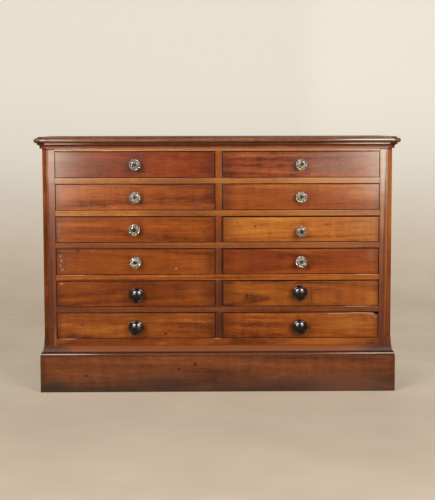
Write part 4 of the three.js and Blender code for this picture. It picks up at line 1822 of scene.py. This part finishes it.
POST_MARKS = {
    "left": (
        Mark(0.003, -0.13, (0.0075, 0.24), 0x4E2C1C, 0.45, 0.4, 0.6),
        Mark(0.016, -0.12, (0.0055, 0.26), 0xA0562A, 0.25, 0.4, 0.6),
        Mark(-0.014, 0.0, (0.013, 0.17), 0x34160A, 0.6, 0.3, 0.6, 0.04),
        Mark(-0.014, -0.33, (0.013, 0.04), 0x34200F, 0.6, 0.3, 0.6, 0.04),
        Mark(0.0165, -0.325, (0.006, 0.06), 0xB0602C, 0.6, 0.3, 0.6),
    ),
    "right": (
        # The first two are painted sheen down the upper stile.
        Mark(-0.011, 0.27, (0.0085, 0.12), 0xFFD8BC, 0.5, 0.3, 0.7),
        Mark(-0.012, 0.11, (0.008, 0.14), 0xE0A070, 0.35, 0.3, 0.8),
        Mark(-0.014, -0.06, (0.0075, 0.12), 0xC87838, 0.2, 0.3, 0.8),
        Mark(-0.016, -0.2, (0.0065, 0.12), 0x8A4420, 0.3, 0.3, 0.8),
        Mark(0.003, -0.02, (0.0035, 0.22), 0xD07A34, 0.5, 0.3, 0.6),
        Mark(0.0000, -0.23, (0.0045, 0.1), 0xA85224, 0.45, 0.3, 0.6),
        Mark(0.013, 0.17, (0.011, 0.24), 0xE89038, 0.4, 0.3, 0.6, 0.04),
        Mark(0.013, -0.2, (0.011, 0.18), 0xC06830, 0.35, 0.3, 0.6, 0.04),
    ),
}
POST_LINES = {
    "left": (
        *slanted((-0.0012, 0.3), (-0.0016, 0.0), 4, (0.0026, 0.07), 0x55291A, 0.65),
        Mark(-0.0005, 0.12, (0.0075, 0.15), 0x5E3628, 0.3, 0.3, 0.9),
    ),
    "right": (
        *slanted((0.0005, 0.29), (-0.0105, -0.3), 7, (0.0034, 0.07), 0x5E3220, 0.5),
        Mark(0.0225, 0.0, (0.0022, 0.4), 0x5A3420, 0.7, 0.3, 0.5, 0.05),
    ),
}
TOP_RAIL_MARKS = (
    Mark(0.05, 0.0, (0.47, 0.08), 0xAA602E, 0.75, 0.3, 0.5),
    Mark(0.43, -0.013, (0.14, 0.005), 0xA06A44, 0.6, 0.3, 0.7),
)
# Painted light: a pale band along the top of the rail under the cornice's shadow, and painted
# highlights at both ends.
TOP_RAIL_LINES = (
    band(-0.006, 0.0034, 0xFFB878, 0.85, 0.1, 0.4),
    Mark(-0.5, -0.006, (0.17, 0.004), 0xFFE8D0, 0.8, 0.3, 0.8),
    Mark(0.46, -0.006, (0.18, 0.004), 0xFFE4CC, 0.8, 0.3, 0.8),
)
SHELF_MARKS = (
    (Mark(-0.13, 0.0, (0.17, 0.05), 0x7A4420, 0.45, 0.4, 0.7),
     Mark(0.4, 0.0, (0.24, 0.05), 0xE8AC70, 0.35, 0.3, 0.9)),
    (Mark(-0.13, 0.0, (0.18, 0.05), 0x6E3814, 0.5, 0.4, 0.7),
     Mark(0.36, 0.0, (0.26, 0.05), 0xDA9450, 0.35, 0.3, 0.9)),
    (Mark(-0.28, 0.0, (0.32, 0.05), 0x7A4422, 0.3, 0.4, 0.8),
     Mark(0.38, 0.0, (0.26, 0.05), 0xC47C40, 0.3, 0.3, 0.9)),
    # Painted highlights along the top arrises of the lower shelves.
    (Mark(-0.4925, 0.0062, (0.06, 0.0016), PAINTED_ARRIS_HIGHLIGHT, 0.8, 0.9, 0.6),
     Mark(0.51, 0.0062, (0.042, 0.0016), PAINTED_ARRIS_HIGHLIGHT, 0.8, 0.9, 0.6)),
    (Mark(0.484, 0.0062, (0.068, 0.0016), PAINTED_ARRIS_HIGHLIGHT, 0.75, 0.9, 0.6),),
)
# On the strip at the divider's right: a painted reflection on the upper rows and painted shade of
# the gap on the lower ones.
DIVIDER_MARKS = (
    Mark(0.011, 0.24, (0.0042, 0.13), 0x745450, 0.8, 0.3, 0.5),
    Mark(0.011, -0.12, (0.0042, 0.3), 0x40200F, 0.7, 0.3, 0.5),
)
# The first two are painted shade of the gap, on the strip at the divider's right.
DIVIDER_LINES = (
    Mark(0.0105, 0.28, (0.003, 0.05), 0x6A3E2C, 0.6, 0.3, 0.5),
    Mark(0.0105, -0.06, (0.0034, 0.28), 0x451E10, 0.65, 0.3, 0.5),
    Mark(-0.0098, 0.0, (0.0024, 0.4), 0x4A2416, 0.5, 0.3, 0.5),
    Mark(0.0, 0.0, (0.03, 0.09), 0x74360F, 0.35, 0.3, 0.6),
)
PLINTH_MARKS = (
    band(0.0755, 0.0075, 0x92501F, 0.9, 0.15, 0.4, 0.05),
    band(0.064, 0.007, 0x8C4A18, 0.8, 0.15, 0.5, 0.05),
    Mark(-0.58, 0.069, (0.105, 0.024), 0x432818, 0.75, 0.4, 0.7, 0.05),
    Mark(0.575, 0.069, (0.125, 0.024), 0x432818, 0.85, 0.4, 0.7, 0.05),
    # Dirt and painted shade in the hollow over the bead, a painted highlight along the bead, and
    # painted shade in the quirk under it.
    band(0.0572, 0.0034, 0x2A140C, 0.85, 0.1, 0.4, 0.05),
    band(0.0516, 0.0022, 0x7E4A34, 0.5, 0.1, 0.4),
    band(0.0425, 0.0032, 0x54382E, 0.5, 0.3, 0.5),
    Mark(-0.079, 0.0165, (0.009, 0.009), 0x2A1512, 0.75, 0.9, 0.7),
    Mark(-0.135, -0.0005, (0.011, 0.007), 0x33190F, 0.6, 1.0, 0.8),
    Mark(-0.455, -0.0215, (0.01, 0.009), 0x33190F, 0.6, 1.0, 0.8),
    Mark(-0.43, -0.0485, (0.012, 0.012), 0x3A2A2C, 0.5, 1.0, 0.9),
    Mark(-0.06, 0.0365, (0.05, 0.016), 0x9A4A26, 0.4, 1.2, 1.0),
    Mark(0.45, -0.055, (0.24, 0.06), 0x8E5A40, 0.4, 0.5, 1.0),
    Mark(-0.58, -0.055, (0.09, 0.05), 0x36261E, 0.45, 0.6, 1.0),
    Mark(-0.605, 0.0, (0.02, 0.1), 0x3E281C, 0.5, 0.6, 0.9),
    Mark(0.608, 0.01, (0.018, 0.1), 0x44281C, 0.45, 0.6, 0.9),
)
PLINTH_LINES = (
    Mark(-0.585, 0.07, (0.055, 0.0135), 0x4E2E1C, 0.55, 0.4, 0.8, 0.05),
    Mark(0.575, 0.07, (0.085, 0.0135), 0x4C2C1A, 0.65, 0.4, 0.8, 0.05),
    # Painted highlights along the bead at both ends.
    Mark(-0.54, 0.052, (0.2, 0.0019), 0xFFE2D0, 0.85, 0.3, 0.8),
    Mark(0.56, 0.0527, (0.28, 0.002), 0xFFE8D8, 0.85, 0.3, 0.8),
)
# Painted highlights along the nose, with painted shade above, below and under it.
TOP_MARKS = (
    Mark(-0.02, 0.0064, (0.44, 0.002), 0xE0B49C, 0.75, 0.4, 0.6),
    Mark(-0.05, -0.0008, (0.4, 0.0018), 0x55301E, 0.5, 0.3, 0.6),
    Mark(-0.59, 0.0038, (0.1, 0.0024), 0x4A2A1C, 0.65, 0.4, 0.6),
    Mark(-0.605, -0.0004, (0.036, 0.0017), PAINTED_BEAD_HIGHLIGHT, 0.95, 0.3, 0.6),
    Mark(-0.54, -0.0004, (0.09, 0.0015), 0xE8C4B2, 0.75, 0.3, 0.7),
    Mark(0.54, 0.0004, (0.19, 0.0024), 0xFFF6EE, 1.0, 0.3, 0.7),
    band(-0.0072, 0.0024, 0x34160C, 0.85, 0.1, 0.5),
    Mark(-0.62, -0.0072, (0.04, 0.005), 0x2A140C, 0.8, 0.3, 0.5, 0.03),
)
TOP_LINES = (band(0.0112, 0.0036, 0xFFB474, 0.95, 0.1, 0.5, 0.016),)
# Painted shade in the cove under the bead, then the fillet's own colour, then painted highlights at
# both ends.
CORNICE_MARKS = (
    band(0.003, 0.0024, 0x34160C, 0.75, 0.1, 0.3),
    band(-0.002, 0.0018, 0x5E2A12, 0.65, 0.1, 0.5),
    band(-0.0068, 0.0034, 0x9A5228, 0.8, 0.1, 0.35),
    Mark(-0.53, -0.006, (0.18, 0.0045), 0xFFE4CC, 0.85, 0.3, 0.8),
    Mark(0.52, -0.006, (0.22, 0.0045), 0xFFE0CA, 0.8, 0.3, 0.8),
)
# Painted light along the foot of the fillet, and painted highlights at both ends of the fillet and
# of the bead.
CORNICE_LINES = (
    band(-0.0087, 0.0018, 0xFFB474, 0.9, 0.1, 0.4),
    Mark(-0.5, -0.0085, (0.17, 0.0018), 0xFFEAD4, 0.85, 0.3, 0.8),
    Mark(0.49, -0.0085, (0.2, 0.0018), 0xFFECDA, 0.85, 0.3, 0.8),
    Mark(-0.56, 0.0074, (0.17, 0.0026), 0xF0D8CC, 0.85, 0.3, 0.8),
    Mark(0.53, 0.0078, (0.2, 0.003), 0xFFF0E6, 0.9, 0.3, 0.8),
)


def front_wood(light: int, middle: int, dark: int, **other: float) -> WoodFinish:
    """The wood of one drawer front."""
    return WoodFinish("front mahogany", light, middle, dark, **other)


HALO = 0x4E2A26
LOOKS: dict[str, DrawerLook] = {
    "drawer_l1": DrawerLook(
        front_wood(0xA24913, 0x85340A, 0x581E06, contrast=1.3, mottle=0.5, ring=0.007),
        Cut(pith=(0.1, 0.012), lean=(0.2, 1.9), along=0.4),
        (Mark(0.0, 0.0, (0.062, 0.052), HALO, 0.55, 0.5, 0.8),
         Mark(0.262, -0.004, (0.01, 0.03), 0x4A3844, 0.5, 0.8, 0.8),
         Mark(0.06, 0.024, (0.018, 0.01), 0xB04A20, 0.4, 0.8, 0.9),
         Mark(0.16, 0.03, (0.022, 0.008), 0xA8481E, 0.35, 0.8, 0.9),
         Mark(0.2, -0.02, (0.03, 0.012), 0xA04820, 0.35, 0.8, 0.9)), turn=22.5),
    "drawer_l2": DrawerLook(
        front_wood(0xC9732B, 0xA6541A, 0x6E330F, contrast=1.2, mottle=0.25),
        Cut(pith=(0.13, -0.02), lean=(0.1, 1.1), along=2.4),
        (Mark(-0.004, 0.0, (0.046, 0.046), HALO, 0.5, 0.6, 0.8),
         Mark(-0.106, -0.03, (0.006, 0.005), 0x4A1F10, 0.7),
         Mark(0.215, -0.034, (0.04, 0.014), 0x5E3A34, 0.5, 0.8, 0.9),
         # Painted highlight along the top arris.
         Mark(-0.1, 0.0428, (0.15, 0.0014), PAINTED_ARRIS_HIGHLIGHT, 0.5, 0.9, 0.6)), turn=17.0),
    "drawer_l3": DrawerLook(
        front_wood(0xC26B1E, 0x9F4E10, 0x682E08, contrast=1.2),
        Cut(pith=(0.09, 0.05), lean=(0.4, 0.9), along=4.1),
        (Mark(0.01, 0.012, (0.034, 0.034), 0x5A2A1C, 0.4, 0.6, 0.9),
         Mark(0.262, 0.004, (0.006, 0.032), 0x9A2F16, 0.6, 0.6, 0.8),
         Mark(0.232, -0.01, (0.004, 0.009), 0x4E2010, 0.6),
         Mark(-0.262, 0.0, (0.01, 0.04), 0xA88468, 0.3, 1.2, 0.9)), turn=24.0),
    "drawer_l4": DrawerLook(
        front_wood(0xB4631B, 0x95480F, 0x602B07, contrast=1.1, mottle=0.25),
        Cut(pith=(0.12, 0.01), lean=(0.2, 1.0), along=6.2),
        (Mark(-0.199, 0.038, (0.012, 0.006), 0x2E1B1A, 0.75, 0.8, 0.7),
         Mark(0.139, -0.024, (0.005, 0.005), 0xB89A80, 0.8, 0.6, 0.6),
         Mark(-0.258, 0.02, (0.0045, 0.006), 0xB09C8A, 0.6, 1.2, 0.5),
         Mark(-0.255, 0.004, (0.006, 0.005), 0xB09C8A, 0.6, 1.2, 0.5),
         Mark(-0.259, -0.012, (0.004, 0.007), 0xA89484, 0.6, 1.2, 0.5),
         Mark(-0.252, -0.026, (0.006, 0.005), 0xA89484, 0.55, 1.2, 0.5),
         Mark(-0.244, -0.002, (0.009, 0.024), 0x6A4638, 0.5, 2.4, 0.7),
         Mark(0.256, 0.0, (0.008, 0.044), 0x6A2A16, 0.5, 0.8, 0.9)), turn=27.0),
    "drawer_l5": DrawerLook(
        front_wood(0xA85916, 0x8A400D, 0x5A2805, contrast=1.15, mottle=0.35),
        Cut(pith=(0.11, -0.03), lean=(0.3, 1.5), along=8.8),
        (Mark(-0.256, 0.036, (0.008, 0.005), 0xB8947C, 0.8, 1.0, 0.6),
         Mark(-0.214, -0.036, (0.006, 0.005), 0x3E1C10, 0.7),
         Mark(-0.13, 0.004, (0.028, 0.003), 0xA8663A, 0.4, 0.8, 0.8),
         Mark(0.2, 0.004, (0.06, 0.035), 0xA45C2A, 0.35, 0.8, 1.0))),
    "drawer_l6": DrawerLook(
        front_wood(0xB66A23, 0x954B14, 0x612B0C, contrast=1.4, mottle=0.3),
        Cut(pith=(0.1, 0.03), lean=(0.4, 1.3), along=10.7),
        (Mark(-0.186, 0.002, (0.012, 0.007), 0x4C4046, 0.75, 1.0, 0.7),
         Mark(0.101, -0.028, (0.006, 0.005), 0x381A10, 0.8, 0.8, 0.5),
         Mark(-0.16, -0.02, (0.09, 0.018), 0xC2762E, 0.45, 0.6, 1.0),
         Mark(0.0, 0.036, (0.26, 0.01), 0x6A3014, 0.4, 0.5, 0.9))),
    "drawer_r1": DrawerLook(
        front_wood(0xB6622C, 0x914119, 0x5F250F, contrast=1.7, ring=0.01, mottle=0.2),
        Cut(pith=(0.06, 0.05), lean=(2.2, 2.4), along=1.2),
        (Mark(0.134, 0.000, (0.007, 0.006), 0x4A2016, 0.8),
         # A painted shadow of the knob over darker polish, then painted sheen towards the right
         # end.
         Mark(-0.022, 0.0, (0.024, 0.028), 0x5A2A1E, 0.5, 0.6, 0.9),
         Mark(0.215, 0.0, (0.06, 0.05), 0xB2745C, 0.3, 0.5, 1.0),
         Mark(0.1, 0.0, (0.17, 0.07), 0xF6E2D2, 0.1, 0.3, 1.0)), turn=20.0),
    "drawer_r2": DrawerLook(
        front_wood(0xC27228, 0xA15118, 0x6C330E, contrast=1.15),
        Cut(pith=(0.14, 0.03), lean=(0.3, 0.8), along=3.3),
        (Mark(0.02, 0.0, (0.06, 0.05), 0x7E3220, 0.45, 0.6, 0.9),
         Mark(-0.004, -0.031, (0.012, 0.003), 0x5A2418, 0.5, 0.6, 0.7)), turn=25.0),
    "drawer_r3": DrawerLook(
        front_wood(0xD88C35, 0xBC6D24, 0x884715, contrast=1.2, mottle=0.35),
        Cut(pith=(0.08, -0.06), lean=(0.5, 2.0), along=5.5),
        (Mark(-0.158, 0.01, (0.007, 0.005), 0x4E2A14, 0.8, 0.8, 0.6),
         Mark(0.089, 0.015, (0.006, 0.004), 0x6A3A18, 0.7, 0.8, 0.6),
         Mark(-0.218, 0.022, (0.004, 0.003), 0x5A2E14, 0.6),
         Mark(0.012, 0.012, (0.03, 0.034), 0x8A4A1E, 0.4, 0.6, 0.9)),
        planed=2.4 * MM, turn=15.0),
    "drawer_r4": DrawerLook(
        front_wood(0xB15A16, 0x91410C, 0x5D2605, contrast=1.2),
        Cut(pith=(0.12, 0.0), lean=(0.2, 1.2), along=7.4),
        (Mark(-0.17, 0.0, (0.14, 0.06), 0x6E2A14, 0.5, 0.5, 0.8),
         Mark(0.026, -0.022, (0.012, 0.014), 0x55210F, 0.6, 0.8, 0.8),
         Mark(0.24, 0.02, (0.02, 0.03), 0x9A6A4C, 0.4, 1.2, 0.9)), planed=0.8 * MM, turn=22.0),
    "drawer_r5": DrawerLook(
        front_wood(0xBA6C21, 0x9B5116, 0x672F0B, contrast=1.3, mottle=0.7, ring=0.008),
        Cut(pith=(0.07, 0.02), lean=(0.6, 2.6), along=9.9),
        (Mark(-0.186, -0.01, (0.003, 0.018), 0x30180E, 0.75, 0.8, 0.6),
         Mark(0.037, 0.0, (0.0014, 0.05), 0x3A1A0C, 0.7, 0.1, 0.5),
         Mark(0.134, -0.014, (0.018, 0.012), 0x74401E, 0.6, 0.8, 0.9),
         Mark(0.16, 0.0, (0.12, 0.05), 0xA8541E, 0.3, 0.5, 0.7)), planed=0.8 * MM),
    "drawer_r6": DrawerLook(
        front_wood(0xBA6C22, 0x984A12, 0x642C09, contrast=1.5, mottle=0.25),
        Cut(pith=(0.15, 0.05), lean=(0.2, 0.6), along=12.1),
        (Mark(0.15, 0.006, (0.13, 0.036), 0xC87E34, 0.4, 0.5, 0.9),
         Mark(0.031, -0.008, (0.006, 0.01), 0x4E230F, 0.7),
         # Painted highlight along the top arris.
         Mark(0.12, 0.04, (0.05, 0.003), 0xC8AE94, 0.5, 0.6, 0.7),
         Mark(0.247, 0.039, (0.02, 0.005), 0x9A8A7E, 0.75, 1.6, 0.5),
         Mark(0.26, 0.028, (0.005, 0.01), 0x8A786C, 0.6, 1.4, 0.5),
         # Painted highlight along the top arris, towards the chip.
         Mark(0.2, 0.0425, (0.056, 0.0017), 0xE0D0C0, 0.8, 0.7, 0.6)), chipped=True),
}


@dataclass
class DrawerNest:
    """All twelve drawers."""

    glass_rows: int = 4

    def build(self) -> None:
        """Makes the drawers, column by column from the top row down."""
        for name, look in LOOKS.items():
            kind = KnobKind.GLASS if int(name[-1]) <= self.glass_rows else KnobKind.WOOD
            Drawer(name, kind, look).build()


# --------------------------------------------------------------------------- studio


@dataclass
class Studio:
    """A pale floor and backdrop, which glows for the camera as painted light, two soft lamps with a
    dim screen behind each, an even sky and the camera."""

    floor_colour: int = 0xC9B9A5
    floor_stain: int = 0xAA9C89
    bounce_colour: int = 0xBEA381
    wall_colour: int = 0xDEDACE
    gloss_colour: int = 0x606060
    far_colour: int = 0xBEAE97
    far_sky: int = 0xD2CABB
    floor_glow: float = 0.45
    wall_glow: float = 0.575
    floor_end: float = -2.6
    wall_place: float = 3.0
    wall_height: float = 7.0
    wall_half: float = 9.0
    bend: float = 0.9
    far_half: float = 40.0
    far_drop: float = 4 * MM
    lamp_place: tuple[float, float, float] = (1.85, -3.5, 2.5)
    lamp_size: tuple[float, float] = (1.7, 1.0)
    lamp_power: float = 46.0
    lamp_lean: float = 45.0
    lamp_colour: tuple[float, float, float] = (1.0, 0.97, 0.93)
    screen_place: tuple[float, float, float] = (1.84, -3.6, 1.85)
    screen_size: tuple[float, float] = (2.15, 2.7)
    screen_power: float = 34.0
    aim: tuple[float, float] = (0.1, 0.45)
    sky: float = 0.24
    eye: tuple[float, float, float] = (-0.062, -4.6, 0.908)
    tilt: float = 5.42
    yaw: float = 0.8
    roll: float = 0.12
    lens: float = 92.3

    def build(self) -> None:
        """Sets the whole studio up."""
        self.backdrop()
        self.far_floor()
        for side in (-1, 1):
            self.light(f"soft lamp {side}", side, self.lamp_place, self.lamp_size,
                       self.lamp_power, -side * math.radians(self.lamp_lean))
            self.light(f"screen {side}", side, self.screen_place, self.screen_size,
                       self.screen_power, 0.0)
        self.world()
        self.camera()
        bpy.context.scene.view_settings.view_transform = "Standard"

    def backdrop(self) -> None:
        """A floor that sweeps up into a wall behind the cabinet."""
        bm = bmesh.new()
        bmesh.ops.create_grid(bm, x_segments=2, y_segments=60, size=1.0)
        depth, foot = self.wall_place - self.floor_end, self.wall_place - self.bend
        for vert in bm.verts:
            run = (vert.co.y + 1) / 2 * (depth + self.wall_height)
            ahead = run - (depth - self.bend)
            angle = min(max(ahead / self.bend, 0.0), math.pi / 2)
            vert.co.x *= self.wall_half
            vert.co.y = foot + min(ahead, 0.0) + self.bend * math.sin(angle)
            vert.co.z = (self.bend * (1 - math.cos(angle))
                         + max(ahead - self.bend * math.pi / 2, 0.0))
        mesh = mesh_of(bm, "backdrop")
        smoothed(mesh)
        mesh.materials.append(self.stone())
        linked("backdrop", mesh)

    def stone(self) -> Material:
        """The backdrop's pale stone and plaster, which the camera sees through from behind and
        which glows unevenly for the camera, as painted light.

        Returns:
            The material.
        """
        made = bpy.data.materials.new("pale stone and plaster")
        w = wiring_of(made)
        across, depth, height = w.parts(w.here)
        path = w.node("LightPath").outputs
        stained = w.span(w.cloud(w.here, 2.4, 5.0, 0.6), 0.3, 0.7, 0.0, 0.3)
        floor = w.mix(stained, paint(self.floor_colour), paint(self.floor_stain))
        floor = w.mix(path["Is Camera Ray"], paint(self.bounce_colour), floor)
        colour = w.mix(w.span(height, 0.0, 0.9), floor, paint(self.wall_colour))
        seen = w.glazed(path["Is Glossy Ray"], colour, self.gloss_colour)
        # Painted light: the glow that the camera sees is dimmer near the front, brighter to the
        # right and brighter up the wall.
        near = w.span(depth, -0.75, 0.15, -0.215, 0.0)
        near = w.calc("ADD", near, w.span(across, 0.48, 0.72, 0.0, 0.07))
        glow = w.calc("ADD", w.span(height, 0.4, 1.3, self.floor_glow, self.wall_glow), near)
        skin = w.node("BsdfPrincipled", {
            "Base Color": seen, "Roughness": 0.7, "Specular IOR Level": 0.2,
            "Emission Color": colour,
            "Emission Strength": w.calc("MULTIPLY", path["Is Camera Ray"], glow)})
        back = w.node("NewGeometry").outputs["Backfacing"]
        behind = w.calc("MULTIPLY", back, path["Is Camera Ray"])
        clear = w.node("BsdfTransparent")
        shown = w.node("MixShader", {0: behind, 1: skin.outputs[0], 2: clear.outputs[0]})
        w.node("OutputMaterial", {"Surface": shown.outputs[0]})
        return made

    def far_floor(self) -> None:
        """A plain floor round the backdrop, for the views from the sides and the back."""
        bm = bmesh.new()
        bmesh.ops.create_grid(bm, x_segments=1, y_segments=1, size=self.far_half)
        bmesh.ops.translate(bm, verts=bm.verts, vec=(0.0, 0.0, -self.far_drop))
        mesh = mesh_of(bm, "far floor")
        made = bpy.data.materials.new("pale ground")
        w = wiring_of(made)
        glow = w.node("Emission", {"Color": paint(self.far_colour), "Strength": 1.0})
        w.node("OutputMaterial", {"Surface": glow.outputs[0]})
        mesh.materials.append(made)
        piece = linked("far floor", mesh)
        piece.visible_diffuse = False
        piece.visible_glossy = False
        piece.visible_transmission = False
        piece.visible_volume_scatter = False
        piece.visible_shadow = False

    def light(self, name: str, side: int, place: Sequence[float], size: Sequence[float],
              power: float, lean: float) -> None:
        """One soft light above and to one side of the camera.

        Args:
            name: The light's name.
            side: -1 on the left and 1 on the right.
            place: Where it stands on the right.
            size: Its width and height.
            power: Its power.
            lean: How far it leans over, about its own beam.
        """
        light = bpy.data.lights.new(name, "AREA")
        light.shape = "RECTANGLE"
        light.size, light.size_y = size
        light.energy = power
        light.color = self.lamp_colour
        stand = Vector((side * place[0], place[1], place[2]))
        beam = Vector((side * self.aim[0], CASE_FRONT, self.aim[1])) - stand
        turn = beam.to_track_quat("-Z", "Y").to_matrix().to_4x4() @ Matrix.Rotation(lean, 4, "Z")
        linked(name, light).matrix_world = Matrix.Translation(stand) @ turn

    def world(self) -> None:
        """Even light from all round: dim in the gloss of the polish, paler through the glass."""
        sky = bpy.data.worlds.new("even sky")
        bpy.context.scene.world = sky
        w = wiring_of(sky)
        path = w.node("LightPath").outputs
        way = w.node("TexCoord").outputs["Generated"]
        strength = w.calc("MULTIPLY_ADD", path["Is Camera Ray"], 1.0 - self.sky, self.sky)
        panes = w.span(w.cloud(way, 2.6, 1.0), 0.44, 0.56)
        through = w.calc("MULTIPLY_ADD", panes, 3.0, w.span(w.parts(way)[2], -0.35, 0.55))
        strength = w.calc("MULTIPLY_ADD", path["Is Transmission Ray"], through, strength)
        strength = w.calc("MULTIPLY_ADD", path["Is Glossy Ray"], -0.2, strength)
        tone = w.mix(path["Is Camera Ray"], (1.0, 0.98, 0.95, 1.0), paint(self.far_sky))
        ground = w.node("Background", {"Color": tone, "Strength": strength})
        w.node("OutputWorld", {"Surface": ground.outputs[0]})

    def camera(self) -> None:
        """The camera at the photograph's viewing angle."""
        data = bpy.data.cameras.new("camera")
        data.lens = self.lens
        data.sensor_width = 36.0
        data.clip_start, data.clip_end = 0.1, 60.0
        eye = linked("camera", data)
        look = (Matrix.Rotation(math.radians(-self.yaw), 4, "Z")
                @ Matrix.Rotation(math.radians(90 - self.tilt), 4, "X")
                @ Matrix.Rotation(math.radians(-self.roll), 4, "Z"))
        eye.matrix_world = Matrix.Translation(self.eye) @ look
        bpy.context.scene.camera = eye


def main() -> None:
    """Builds the cabinet's looks and the studio."""
    logging.basicConfig(level=logging.INFO, format="%(name)s: %(message)s")
    for assembly in (Studio(), Top(), Plinth(), Casework(), DrawerNest(), BackNails()):
        assembly.build()


if __name__ == "__main__":
    main()
